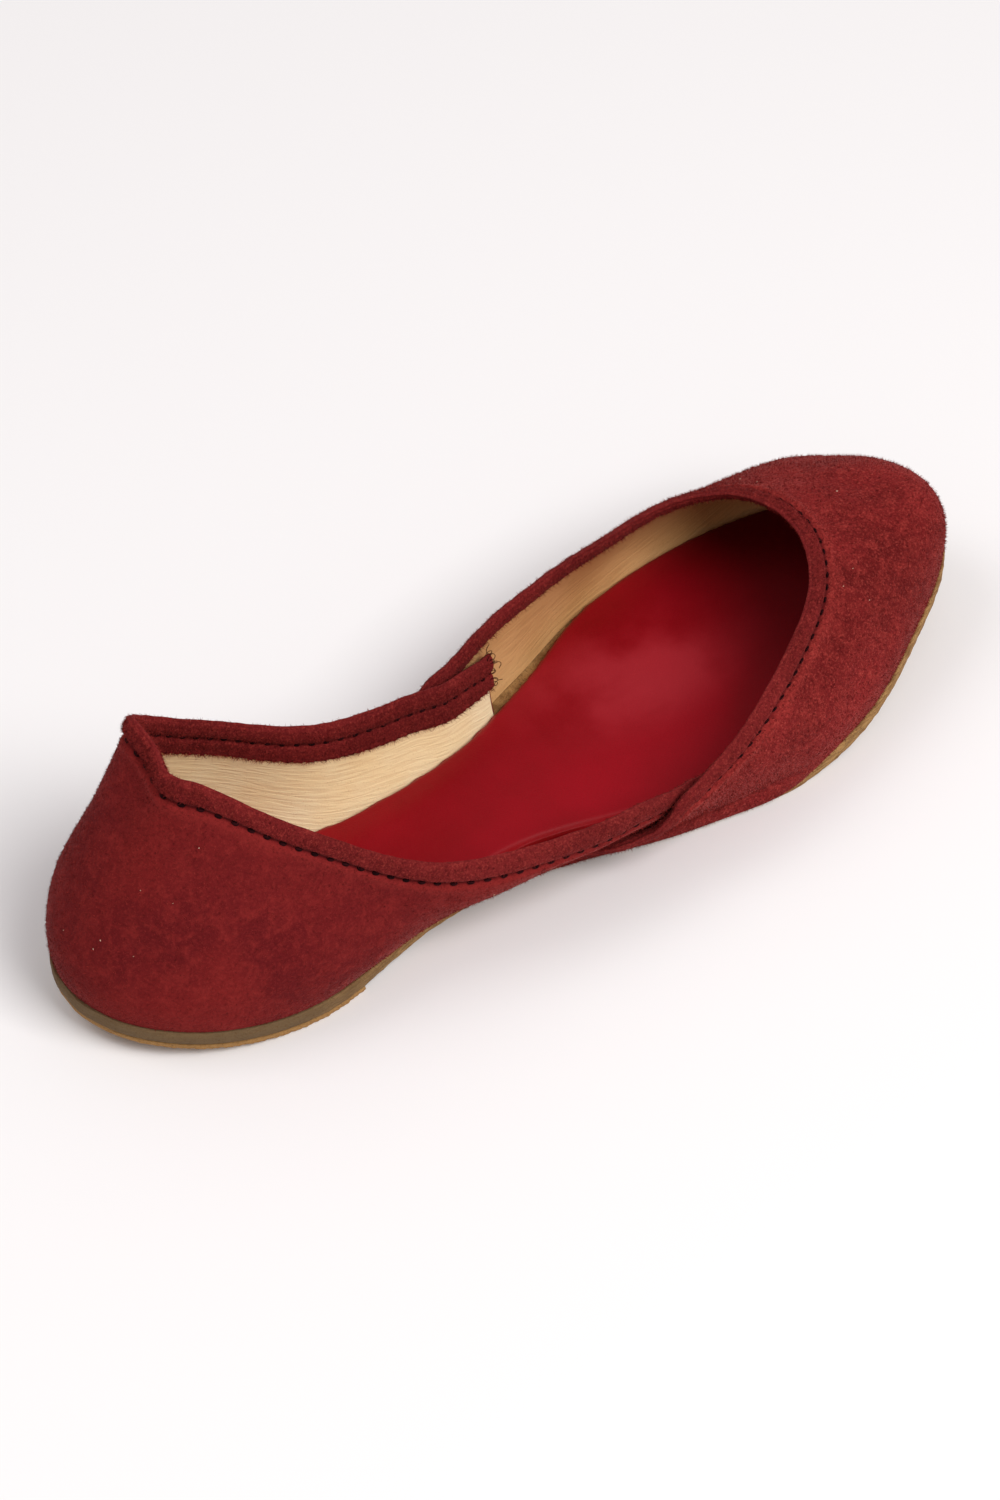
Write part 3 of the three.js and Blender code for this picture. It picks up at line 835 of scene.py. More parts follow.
@dataclass(frozen=True)
class Leather:
    """Full-grain leather: a soft low shine over fine pores, with creases drawn along the piece's own map.

    Real pores are about 0.15 mm across. They are drawn at 0.7 mm and more, so that they show.
    """

    name: str
    face: str
    shade: str
    pore: str
    patch: float = 30
    pore_size: float = 0.9
    grain: float = 0.5
    relief: float = 0.05
    crease_size: tuple[float, float] = (9.0, 0.9)
    crease_turn: float = 20
    crease_depth: float = 0.0
    # Strength of the painted shade in the creases' troughs
    painted_crease_shade: float = 0.16
    roughness: tuple[float, float] = (0.5, 0.62)
    specular: float = 0.4
    painted_light: PaintedLight | None = None

    def painted_light_tints(self, tree: bpy.types.NodeTree, blotch: bpy.types.Node) -> list[tuple[bpy.types.Node, str]]:
        """The tints of painted light, each with the node that gives its amount.

        Args:
            tree: The material's node tree.
            blotch: The leather's own patches, which break the painted sheen up.

        Returns:
            Pairs of node and colour, in the order in which they are laid on.
        """
        if self.painted_light is None:
            return []
        place = add_node(tree, "TexCoord").outputs["Object"]
        spot = add_node(tree, "Mapping", {
            "Vector": place,
            "Location": (*self.painted_light.painted_sheen_at, 0),
            "Scale": (*self.painted_light.painted_sheen_reach, 1),
        }, vector_type="TEXTURE")
        middle = add_node(tree, "TexGradient", {"Vector": spot.outputs[0]}, gradient_type="SPHERICAL")
        spread = add_node(tree, "Math", {0: middle.outputs[1], 1: blotch.outputs[0]}, operation="MULTIPLY")
        along = add_node(tree, "SeparateXYZ", {0: place}).outputs[0]
        # Painted sheen, paler over a soft spot, and painted shade, darker towards the toes
        painted_sheen, painted_toe_shade = (
            add_node(tree, "MapRange", {0: source, 1: start, 2: end, 4: most},
                     interpolation_type="SMOOTHSTEP")
            for source, start, end, most in (
                (spread.outputs[0], 0.0, 0.6, self.painted_light.painted_sheen_most),
                (along, self.painted_light.toe_shade_from, self.painted_light.toe_shade_to, self.painted_light.toe_shade_most),
            )
        )
        return [(painted_sheen, self.painted_light.painted_sheen), (painted_toe_shade, self.painted_light.painted_toe_shade)]

    def material(self) -> bpy.types.Material:
        """The leather's soft blotches and darker pores, painted shade in its creases' troughs, and gloss
        that varies over it.

        Returns:
            The finished material.
        """
        material, tree = new_material(self.name)
        place = add_node(tree, "TexCoord").outputs["Object"]
        patches, grain = (
            add_node(tree, "TexNoise", {"Vector": place, "Scale": per_metre(size), "Detail": detail})
            for size, detail in ((self.patch, 4.0), (self.grain, 3.0))
        )
        pores = add_node(tree, "TexVoronoi", {"Vector": place, "Scale": per_metre(self.pore_size)})
        blotch = add_node(tree, "MapRange", {0: patches.outputs[0], 1: 0.34, 2: 0.66})
        dots = add_node(tree, "MapRange", {0: pores.outputs[0], 1: 0.2, 2: 0.06, 4: 0.5})
        tints = [(blotch, self.face), (dots, self.pore), *self.painted_light_tints(tree, blotch)]
        height = grain.outputs[0]
        if self.crease_depth:
            wrap = add_node(tree, "UVMap", uv_map="Wrap").outputs[0]
            turned = add_node(tree, "Mapping", {
                "Vector": wrap,
                "Rotation": (0, 0, math.radians(self.crease_turn)),
                "Scale": (1 / self.crease_size[0], 1 / self.crease_size[1], 1),
            })
            creases = add_node(tree, "TexNoise", {
                "Vector": turned.outputs[0], "Scale": 1.0, "Detail": 2.0, "Distortion": 0.5,
            })
            # Painted shade: a darker line along the trough of each crease
            fold, line = (
                add_node(tree, "MapRange", {0: creases.outputs[0], 1: start, 2: end, 4: most})
                for start, end, most in ((0.42, 0.62, 1.0), (0.44, 0.34, self.painted_crease_shade))
            )
            tints.append((line, self.pore))
            share = self.crease_depth / self.relief
            height = add_node(tree, "Math", {0: fold.outputs[0], 1: share, 2: height},
                              operation="MULTIPLY_ADD").outputs[0]
        colour = linear(self.shade)
        for amount, tint in tints:
            colour = add_node(tree, "Mix", {0: amount.outputs[0], MIX_A: colour, MIX_B: linear(tint)},
                              data_type="RGBA").outputs[MIX_RESULT]
        bump = add_node(tree, "Bump", {"Height": height, "Strength": 0.7, "Distance": self.relief * MM})
        dull, rough = self.roughness
        gloss = add_node(tree, "MapRange", {0: patches.outputs[0], 1: 0.3, 2: 0.7, 3: dull, 4: rough})
        shader = add_node(tree, "BsdfPrincipled", {
            "Base Color": colour,
            "Roughness": gloss.outputs[0],
            "Specular IOR Level": self.specular,
            "Normal": bump.outputs[0],
        })
        add_node(tree, "OutputMaterial", {"Surface": shader.outputs[0]})
        return material


@dataclass(frozen=True)
class CutLeather:
    """Vegetable-tanned buffalo leather, its cut edge left raw: dull, with its layers of fibres in sight.

    Real fibres are under 0.1 mm thick. They are drawn as bundles of half a millimetre, so that they show.
    """

    name: str
    face: str
    fibre: str
    burnish: str
    heel_tint: str
    heel_reach: tuple[float, float] = (-0.045, -0.085)
    heel_most: float = 0.9
    fibre_size: tuple[float, float] = (5.0, 0.45)
    stain: float = 17
    relief: float = 0.3
    roughness: float = 0.82

    def material(self) -> bpy.types.Material:
        """The leather with fibres drawn along the sole, darker at the heel and in its hollows.

        Returns:
            The finished material.
        """
        material, tree = new_material(self.name)
        place = add_node(tree, "TexCoord").outputs["Object"]
        long, short = (per_metre(size) for size in self.fibre_size)
        drawn = add_node(tree, "Mapping", {"Vector": place, "Scale": (long, long, short)}).outputs[0]
        fibres, fluff, stain = (
            add_node(tree, "TexNoise", {"Vector": space, "Scale": scale, **look})
            for space, scale, look in (
                (drawn, 1.0, {"Detail": 6.0, "Roughness": 0.7}),
                (place, short, {"Detail": 4.0, "Roughness": 0.75}),
                (place, per_metre(self.stain), {"Detail": 3.0}),
            )
        )
        along = add_node(tree, "SeparateXYZ", {0: place})
        colour = linear(self.fibre)
        for source, start, end, most, tint in (
            (fibres, 0.42, 0.58, 1.0, self.face),
            (along, *self.heel_reach, self.heel_most, self.heel_tint),
            (stain, 0.5, 0.72, 0.6, self.burnish),
            (fluff, 0.48, 0.36, 0.8, self.burnish),
        ):
            amount = add_node(tree, "MapRange", {0: source.outputs[0], 1: start, 2: end, 4: most})
            colour = add_node(tree, "Mix", {0: amount.outputs[0], MIX_A: colour, MIX_B: linear(tint)},
                              data_type="RGBA").outputs[MIX_RESULT]
        relief = add_node(tree, "Math", {0: fibres.outputs[0], 1: 0.8, 2: fluff.outputs[0]},
                          operation="MULTIPLY_ADD")
        bump = add_node(tree, "Bump", {
            "Height": relief.outputs[0], "Strength": 0.8, "Distance": self.relief * MM,
        })
        shader = add_node(tree, "BsdfPrincipled", {
            "Base Color": colour,
            "Roughness": self.roughness,
            "Specular IOR Level": 0.25,
            "Normal": bump.outputs[0],
        })
        add_node(tree, "OutputMaterial", {"Surface": shader.outputs[0]})
        return material


@dataclass(frozen=True)
class Thread:
    """Waxed cotton thread: twisted strands, almost black where it sinks in the seam."""

    name: str
    strand: str
    wax: str
    twist: float = 0.5
    relief: float = 0.08

    def material(self) -> bpy.types.Material:
        """The thread with its twist as fine bands.

        Returns:
            The finished material.
        """
        material, tree = new_material(self.name)
        place = add_node(tree, "TexCoord").outputs["Object"]
        twist = add_node(tree, "TexWave", {
            "Vector": place, "Scale": per_metre(self.twist) / (2 * math.pi), "Distortion": 1.5,
        }, bands_direction="DIAGONAL").outputs[1]
        colour = add_node(tree, "Mix", {0: twist, MIX_A: linear(self.wax), MIX_B: linear(self.strand)},
                          data_type="RGBA").outputs[MIX_RESULT]
        bump = add_node(tree, "Bump", {"Height": twist, "Strength": 0.6, "Distance": self.relief * MM})
        shader = add_node(tree, "BsdfPrincipled", {
            "Base Color": colour,
            "Roughness": 0.85,
            "Specular IOR Level": 0.05,
            "Normal": bump.outputs[0],
        })
        add_node(tree, "OutputMaterial", {"Surface": shader.outputs[0]})
        return material


@dataclass(frozen=True)
class Fibre:
    """Single fibres of a nap or of lint, too thin to show any relief, each patch in its own shade."""

    name: str
    light: str
    dark: str
    patch: float = 0.9

    def material(self) -> bpy.types.Material:
        """The fibres, rough and without gloss.

        Returns:
            The finished material.
        """
        material, tree = new_material(self.name)
        place = add_node(tree, "TexCoord").outputs["Object"]
        patches = add_node(tree, "TexNoise", {
            "Vector": place, "Scale": per_metre(self.patch), "Detail": 2.0,
        })
        shade = add_node(tree, "MapRange", {0: patches.outputs[0], 1: 0.4, 2: 0.6}).outputs[0]
        colour = add_node(tree, "Mix", {0: shade, MIX_A: linear(self.dark), MIX_B: linear(self.light)},
                          data_type="RGBA").outputs[MIX_RESULT]
        shader = add_node(tree, "BsdfPrincipled", {
            "Base Color": colour,
            "Roughness": 0.95,
            "Specular IOR Level": 0.05,
        })
        add_node(tree, "OutputMaterial", {"Surface": shader.outputs[0]})
        return material


class Part(Enum):
    """The two pieces of the upper."""

    QUARTER = "quarter"
    VAMP = "vamp"


class Finishes:
    """The shoe's materials, each made once."""

    def __init__(self) -> None:
        """Makes every material."""
        self.suede = {
            # Closely buffed: almost smooth, with soft clouds of lighter red and a painted highlight under
            # the seam
            Part.QUARTER: Suede(
                "dyed_goat_suede",
                pile="#751d1d", shade="#611619", brushed="#862725", speck="#8c2e2a", pit="#551214",
                grain=0.7, speckle=0.4, painted_seam_highlight=0.55,
            ).material(),
            # From the skin's looser part: a coarse nap that catches light in orange red specks
            Part.VAMP: Suede(
                "coarse_goat_suede",
                pile="#822223", shade="#621617", brushed="#9a332f", speck="#ae473e", pit="#4c0e11",
                # A fainter painted highlight under the seam
                grain=0.62, speckle=0.6, bump=0.45, painted_seam_highlight=0.4,
            ).material(),
        }
        # Thin split suede, stretched over the fold: darker, and rough rather than hazy, with painted shade
        # along its seams and raw edge
        self.binding = Suede(
            "binding_suede",
            pile="#731f20", shade="#611819", brushed="#832827", speck="#a5443a", pit="#3a0a0d",
            nap=2.4, grain=0.55, speckle=0.5, seam_shade_range=(0.6, 0.1), sheen=0.12,
        ).material()
        self.pile = Fibre("suede_pile_fibre", light="#8e2f2b", dark="#5c1718").material()
        self.lint = Fibre("lint_fibre", light="#d9b7a0", dark="#b98f7c").material()
        # Pigment finish over full grain: deep red with a low gloss, a painted sheen paler at the ball and
        # painted shade darker towards the toes
        self.insole = Leather(
            "red_finished_leather",
            face="#930416", shade="#82030f", pore="#65040c",
            pore_size=0.7, grain=0.45, relief=0.07, roughness=(0.40, 0.52), specular=0.15,
            painted_light=PaintedLight(
                # Painted sheen: a paler soft spot at the ball
                painted_sheen="#a82d36", painted_sheen_at=(0.038, 0.012), painted_sheen_reach=(0.045, 0.024), painted_sheen_most=0.5,
                # Painted shade: darker towards the toes, where the vamp covers the insole
                painted_toe_shade="#4c0006", toe_shade_from=0.050, toe_shade_to=0.092, toe_shade_most=0.85,
            ),
        ).material()
        self.lining = {
            # Undyed skin: pale cream with fine slanting wrinkles
            Part.QUARTER: Leather(
                "undyed_goat_lining",
                face="#fff0c6", shade="#fbe0ac", pore="#cfa472", crease_depth=0.08,
            ).material(),
            # The same cream lining drawn as a warmer, darker buff: painted shade inside the vamp
            Part.VAMP: Leather(
                "cream_lining_with_painted_shade",
                face="#d9aa72", shade="#c4945d", pore="#8a5c34", crease_depth=0.08,
            ).material(),
        }
        # Raw cut edge: long tan fibres with dark pits, darker grey brown towards the heel
        self.sole = CutLeather(
            "raw_edged_buffalo_leather",
            face="#ad8552", fibre="#856037", burnish="#5f4325", heel_tint="#665239",
        ).material()
        self.lift = CutLeather(
            "stacked_lift_leather",
            face="#bb905b", fibre="#987041", burnish="#765431", heel_tint="#a57b49",
        ).material()
        self.thread = Thread("waxed_cotton_thread", strand="#2c0c10", wax="#180507").material()


def joined_copies(
    name: str,
    template: bpy.types.Object,
    places: np.ndarray,
    turns: np.ndarray,
) -> bpy.types.Object:
    """Copies a small shape to many places as one joined piece, and removes the shape.

    Args:
        name: The joined piece's name.
        template: The shape, modelled once round the origin with sizes of 1.
        places: Where each copy's origin goes, in metres, one to a row.
        turns: For each copy, three columns with the shape's X, Y and Z in the frame, in metres.

    Returns:
        The joined piece.
    """
    shape = np.array([vertex.co for vertex in template.data.vertices])
    faces = [np.array(face.vertices) for face in template.data.polygons]
    points = np.einsum("nij,kj->nki", turns, shape) + places[:, None, :]
    starts = np.arange(len(places)) * len(shape)
    corners = [(starts[:, None] + face[None, :]).tolist() for face in faces]
    mesh = bpy.data.meshes.new(name)
    mesh.from_pydata(points.reshape(-1, 3).tolist(), [], [corner for group in corners for corner in group])
    piece = bpy.data.objects.new(name, mesh)
    bpy.context.scene.collection.objects.link(piece)
    bpy.data.objects.remove(template)
    return piece


def columns_of(first: np.ndarray, second: np.ndarray, third: np.ndarray) -> np.ndarray:
    """Stacks three ways as the columns of a matrix for each row."""
    return np.stack([first, second, third], axis=2)


def unit(ways: np.ndarray) -> np.ndarray:
    """Each row at length 1."""
    return ways / np.linalg.norm(ways, axis=1)[:, None]


class Crease(NamedTuple):
    """A soft trough or ridge in the leather, given one by one.

    Its course is given in stations and shares up, and half its width and its height in millimetres.
    """

    course: tuple[tuple[float, float], ...]
    half_width: float
    height: float


QUARTER_CREASES = (
    Crease(((0.4, 0.62), (0.9, 0.40), (1.5, 0.24)), 4.5, -0.55),
    Crease(((2.6, 0.30), (3.3, 0.52), (4.0, 0.66)), 6.0, 0.45),
    Crease(((3.6, 0.26), (4.3, 0.40), (5.0, 0.46)), 4.0, -0.40),
    Crease(((-3.2, 0.30), (-2.4, 0.48), (-1.6, 0.60)), 5.5, -0.45),
    Crease(((-1.0, 0.30), (-0.3, 0.20), (0.5, 0.18)), 4.5, 0.40),
)
# The first is the deep trough at the kink of the toes
VAMP_CREASES = (
    Crease(((12.20, 0.24), (12.35, 0.42), (12.30, 0.72)), 5.0, -1.1),
    Crease(((11.2, 0.20), (11.6, 0.40), (11.7, 0.66)), 5.0, 0.50),
    Crease(((9.4, 0.22), (9.9, 0.44), (10.4, 0.72)), 5.5, -0.50),
    Crease(((7.6, 0.34), (8.3, 0.42), (9.0, 0.40)), 5.0, -0.45),
    Crease(((7.0, 0.22), (7.9, 0.20), (8.8, 0.18)), 4.0, 0.35),
    Crease(((13.4, 0.24), (14.2, 0.40), (15.2, 0.46)), 5.0, -0.45),
    Crease(((10.6, 0.50), (11.4, 0.62), (12.4, 0.76)), 4.0, -0.40),
)


class Wave(NamedTuple):
    """A slow wave of a slack face or a ragged edge.

    Its speed is in radians per millimetre, along X, Y and Z or along an edge. Its height is in millimetres.
    """

    speed: tuple[float, float, float] | float
    height: float
    start: float

    def at(self, places: np.ndarray) -> np.ndarray:
        """The wave's height at points, or at lengths along an edge."""
        return self.height * np.sin(np.dot(places, self.speed) + self.start)


SLACK_WAVES = (
    Wave((0.143, 0.065, 0.169), 0.16, 0.0),
    Wave((0.091, -0.208, 0.117), 0.1, 1.7),
    Wave((-0.247, 0.104, 0.221), 0.16 / 2.2, 3.4),
    Wave((0.312, 0.273, -0.156), 0.16 / 2.8, 5.1),
)
RAGGED_WAVES = (
    Wave(1.9, 0.136, 0.0),
    Wave(3.7, 0.136, 1.3),
    Wave(7.1, 0.1088, 0.4),
)


@dataclass(frozen=True)
class Fuzz:
    """Loose fibres of a nap, with lengths and radius in millimetres.

    A real fibre is about 0.03 mm thick. These are drawn four to five times as thick, so that they show.
    """

    count: int
    length: tuple[float, float]
    radius: float = 0.07
    lean: float = 0.8
    lean_ways: tuple[float, float, float] = (1, 1, 0.7)
    rooted: float = 0.42
    seed: int = 1

    def rng(self) -> np.random.Generator:
        """The stretch's own source of chance."""
        return np.random.default_rng(self.seed)

    def grow(
        self,
        name: str,
        roots: np.ndarray,
        normals: np.ndarray,
        material: bpy.types.Material,
        slot: str,
    ) -> bpy.types.Object:
        """Grows one fibre out of each root.

        Args:
            name: The joined piece's name.
            roots: Roots in the frame, in metres.
            normals: Ways out of the surface.
            material: The fibres' finish.
            slot: Not used.

        Returns:
            The fibres as one piece.
        """
        rng = self.rng()
        deselect_all()
        bpy.ops.mesh.primitive_cone_add(vertices=3, radius1=1, radius2=0, depth=1, location=(0, 0, 0))
        template = named_active("fibre_shape")
        ways = unit(normals + self.lean * rng.normal(size=normals.shape) * self.lean_ways)
        side = unit(np.cross(ways, rng.normal(size=normals.shape)))
        length = rng.uniform(*self.length, len(roots))[:, None]
        turns = columns_of(side * self.radius, np.cross(ways, side) * self.radius, ways * length) * MM
        piece = joined_copies(name, template, roots + ways * length * self.rooted * MM, turns)
        finish_piece(piece, material)
        return piece


@dataclass
class UpperPiece:
    """One suede piece of the upper with its lining, the strip over its top edge, its seams and its nap."""

    part: Part
    last: Last
    finishes: Finishes
    reach: tuple[ReachRow, ...]
    creases: tuple[Crease, ...]
    pile: Fuzz
    strip_pile: Fuzz
    fringe: Fuzz
    inner_band: float
    outer_band: float
    stitch_pitch: float
    stitch_width: float
    skirt: float
    # The lower edge that hangs over the sole's: its stations, how far out it goes and how high up it starts
    skirt_stations: tuple[float, float, float, float] = (3.6, 4.8, 6.6, 7.7)
    skirt_out: float = 0.55
    skirt_rise: float = 5
    # The layers' thicknesses, where they are skived thin, and the share of a low end that its band takes
    short_band: float = 0.5
    skive: float = 0.55
    skive_run: float = 0.6
    suede_thickness: float = 0.9
    least_thickness: float = 0.3
    least_depth: float = 1.15
    lining_thickness: float = 0.8
    lining_skive: tuple[float, float] = (0.6, 2.2)
    lining_creases: float = 0.2
    lining_soft: tuple[float, float] = (6, 3)
    lining_ends: float = 0.004
    # The seam: its stitches, the groove that they draw in, the plump leather below it, and how many bands
    # tall the piece is where it's sewn
    seam_samples: int = 801
    stitch_length: float = 1.9
    stitch_dent: float = 0.3
    stitch_reach: float = 0.8
    stitch_drop: float = 0.3
    stitch_stand: float = 0.16
    groove: float = 0.52
    groove_run: tuple[float, float] = (-1.7, -0.1)
    plump: float = 0.26
    plump_drop: float = 2.0
    plump_reach: float = 1.1
    plump_height: float = 12
    tall: float = 2.2
    # The creases: how far from the foot line and from the seam they fade, and how they fade at their ends
    crease_foot: float = 8
    crease_top: tuple[float, float] = (-4, -1)
    crease_samples: int = 24
    crease_fade: tuple[float, float] = (0.08, 0.92)
    # The strip: its thickness, its puffed band, its lip at the seam, the row inside and its raw edge
    strip_thickness: float = 0.5
    strip_puff: float = 0.3
    strip_stand: float = 0.3
    strip_lip: float = 0.1
    strip_lip_run: float = 1.1
    inner_seam: float = 5.2
    inner_seam_edge: float = 2
    inner_press: float = 0.55
    inner_press_reach: float = 0.55
    inner_puff_reach: float = 1.5
    inner_start: float = 0.15
    raw_share: float = 0.93
    raw_weight: float = 1.4
    edge_pull: float = 0.2
    edge_share: float = 0.05
    uneven: float = 0.07
    even_share: float = 0.9
    # The nap: how far below the seam it ends, and its reach along the piece
    pile_clear: float = 0.6
    pile_ends: tuple[float, float] = (0.002, 0.998)
    # The meshes' squares
    seam_split: float = 0.62
    seam_rows: tuple[float, float] = (3.0, 0.4)
    columns: int = 300
    rows: int = 56
    strip_columns: int = 460
    strip_rows: int = 34

    def stand(self, station: np.ndarray) -> np.ndarray:
        """How far the piece stands off the last.

        Args:
            station: Places round the last.

        Returns:
            Distances off the last.
        """
        if self.part is Part.VAMP:
            return self.last.vamp_stand(station)
        return np.zeros(len(station))

    def levels(self, station: np.ndarray) -> tuple[np.ndarray, np.ndarray, np.ndarray]:
        """The cross curve's length, the piece's top and its seam, as distances up from the foot line.

        Args:
            station: Places round the last.

        Returns:
            The three lengths for each station.
        """
        girth = self.last.girth(station)
        top = reach_at(self.reach, station) * girth
        return girth, top, np.maximum(top - self.outer_band, self.short_band * top)

    def station_at(self, share: np.ndarray) -> np.ndarray:
        """The station at a share of the way along the piece."""
        start, end = self.reach[0].station, self.reach[-1].station
        return start + (end - start) * share

    def seam_run(self) -> tuple[np.ndarray, np.ndarray]:
        """Stations along the piece and the length walked along its seam to each.

        Returns:
            The stations and the lengths.
        """
        station = self.station_at(np.linspace(0, 1, self.seam_samples))
        girth, _, seam = self.levels(station)
        point = self.last.surface(station, seam / girth)
        steps = np.linalg.norm(np.diff(point, axis=0), axis=1)
        return station, np.concatenate([[0.0], np.cumsum(steps)])

    def walked(self, station: np.ndarray) -> np.ndarray:
        """The length walked along the seam to each station."""
        stations, run = self.seam_run()
        return np.interp(station, stations, run)

    def pulled(self, walk: np.ndarray) -> np.ndarray:
        """How hard the seam pulls at each place along it, from 1 at a stitch to 0 between two."""
        return 0.5 + 0.5 * np.cos(2 * np.pi * walk / self.stitch_pitch)

    def creased(self, points: np.ndarray) -> np.ndarray:
        """The height of the listed creases and of the leather's own slack at points of the last.

        Args:
            points: Points of the last's surface.

        Returns:
            A height for each point.
        """
        height = np.zeros(len(points))
        for crease in self.creases:
            course = np.array(crease.course)
            t = np.linspace(0, len(course) - 1, self.crease_samples)
            station, up = (np.interp(t, np.arange(len(course)), course[:, i]) for i in (0, 1))
            line = self.last.surface(station, up)
            fade = np.sin(np.pi * np.linspace(*self.crease_fade, len(line)))
            gaps = np.linalg.norm(points[:, None, :] - line[None], axis=2)
            height += crease.height * (np.exp(-((gaps / crease.half_width) ** 2)) * fade).max(axis=1)
        for wave in SLACK_WAVES:
            height += wave.at(points)
        return height

    def face(self, station: np.ndarray, up: np.ndarray) -> tuple[np.ndarray, np.ndarray, np.ndarray]:
        """The suede's face: plump below the seam, drawn in at it, and skived thin under the strip.

        Args:
            station: Places round the last.
            up: Distances up from the foot line.

        Returns:
            Points of the last's surface, their normals and the face's depths over them.
        """
        girth, _, seam = self.levels(station)
        point, normal, _ = self.last.placed(station, up / girth)
        rise = up - seam
        swell = np.exp(-(((rise + self.plump_drop) / self.plump_reach) ** 2))
        plump = self.plump * swell * np.minimum(seam / self.plump_height, 1)
        dent = self.stitch_dent * np.exp(-((rise / self.stitch_reach) ** 2))
        dent *= self.pulled(self.walked(station))
        drawn = self.groove * smooth(rise, *self.groove_run) + dent
        skived = (self.skive - self.groove) * smooth(rise, 0, self.skive_run)
        depth = self.last.wall + plump - drawn - skived
        softness = smooth(up, 0, self.crease_foot) * (1 - smooth(rise, *self.crease_top))
        depth += self.creased(point) * softness
        return point, normal, np.maximum(depth, self.least_depth)

    def hung(self, station: np.ndarray, up: np.ndarray) -> np.ndarray:
        """How far the suede's lower edge hangs out over the sole's, from 0 to 1.

        Args:
            station: Places round the last.
            up: Distances up from the foot line.

        Returns:
            A share for each place.
        """
        first, full, fading, last = self.skirt_stations
        along = smooth(station, first, full) * (1 - smooth(station, fading, last))
        return along * (1 - smooth(up, 0, self.skirt_rise))

    def faced(self, station: np.ndarray, up: np.ndarray) -> tuple[np.ndarray, np.ndarray]:
        """Points of the finished suede face with the ways out of it.

        Args:
            station: Places round the last.
            up: Distances up from the foot line.

        Returns:
            Points in the last's millimetres and the ways out.
        """
        point, normal, depth = self.face(station, up)
        hang = self.hung(station, up)
        place = point + normal * (self.stand(station) + depth)[:, None]
        place += self.last.outward(station) * ((self.last.sole_edge + self.skirt_out) * hang)[:, None]
        place[:, 2] -= self.skirt * hang
        return place, normal

    def suede(self) -> bpy.types.Object:
        """The suede wall, from its lower edge over the sole to its skived top under the strip.

        Returns:
            The finished wall.
        """
        piece = add_slab(f"{self.part.value}_suede", self.columns, self.rows)
        u, v, w = shares_of(piece)
        station = self.station_at(u)
        _, top, seam = self.levels(station)
        most, share = self.seam_rows
        below = seam - np.minimum(most, share * seam)
        shoulder = top - self.strip_thickness - self.last.gap
        above = (v - self.seam_split) / (1 - self.seam_split)
        up = np.where(v < self.seam_split, v / self.seam_split * below, below + above * (shoulder - below))
        point, normal, depth = self.face(station, up)
        inner = np.minimum(depth - self.least_thickness, self.last.wall - self.suede_thickness)
        inside = point + normal * (self.stand(station) + inner)[:, None]
        outside, _ = self.faced(station, up)
        write_points(piece, self.last.framed(np.where(w[:, None] > 0.5, outside, inside)))
        write_map(piece, "Wrap", self.walked(station), up - seam)
        finish_piece(piece, self.finishes.suede[self.part])
        return piece

    def lining(self) -> bpy.types.Object:
        """The leather lining inside the suede, with soft creases of its own.

        Returns:
            The finished lining.
        """
        piece = add_slab(f"{self.part.value}_lining", self.columns * 2 // 3, self.rows * 2 // 3)
        u, v, w = shares_of(piece)
        station = self.station_at(self.lining_ends + (1 - 2 * self.lining_ends) * u)
        girth, top, _ = self.levels(station)
        up = v * (top - self.strip_thickness - self.last.gap)
        point, normal, _ = self.last.placed(station, up / girth)
        band = np.maximum(top - self.inner_band, self.short_band * top)
        first, full = self.lining_skive
        inner = self.skive * smooth(up, band + first, band + full)
        foot, below = self.lining_soft
        soft = smooth(up, 0, foot) * (1 - smooth(up, band - below, band))
        inner += self.lining_creases * self.creased(point[:, [1, 2, 0]]) * soft
        outer = np.maximum(inner + self.least_thickness, self.lining_thickness)
        depth = np.where(w > 0.5, outer, inner)
        write_points(piece, self.last.framed(point + normal * (self.stand(station) + depth)[:, None]))
        write_map(piece, "Wrap", self.walked(station), top - up)
        finish_piece(piece, self.finishes.lining[self.part])
        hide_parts(f"upper_{self.part.value}")
        return piece

    def has_inner_seam(self) -> bool:
        """Whether the strip reaches far enough down inside to be sewn there too."""
        return self.inner_band > self.inner_seam + self.inner_seam_edge

    def strip_runs(self, top: np.ndarray) -> tuple[float, float, np.ndarray, np.ndarray]:
        """The fold's middle depth and radius, the outer run's length and the inner run's past the fold.

        Args:
            top: The piece's top at each place, up from the foot line.

        Returns:
            The fold's middle and radius, and the two runs at each place.
        """
        outside = self.last.wall - self.skive + self.strip_stand + self.strip_thickness
        inside = self.skive - self.strip_stand - self.strip_thickness
        radius = (outside - inside) / 2
        outer = np.minimum(self.outer_band, self.short_band * top)
        inner = np.minimum(self.inner_band, self.short_band * top)
        return (outside + inside) / 2, radius, outer, inner - radius

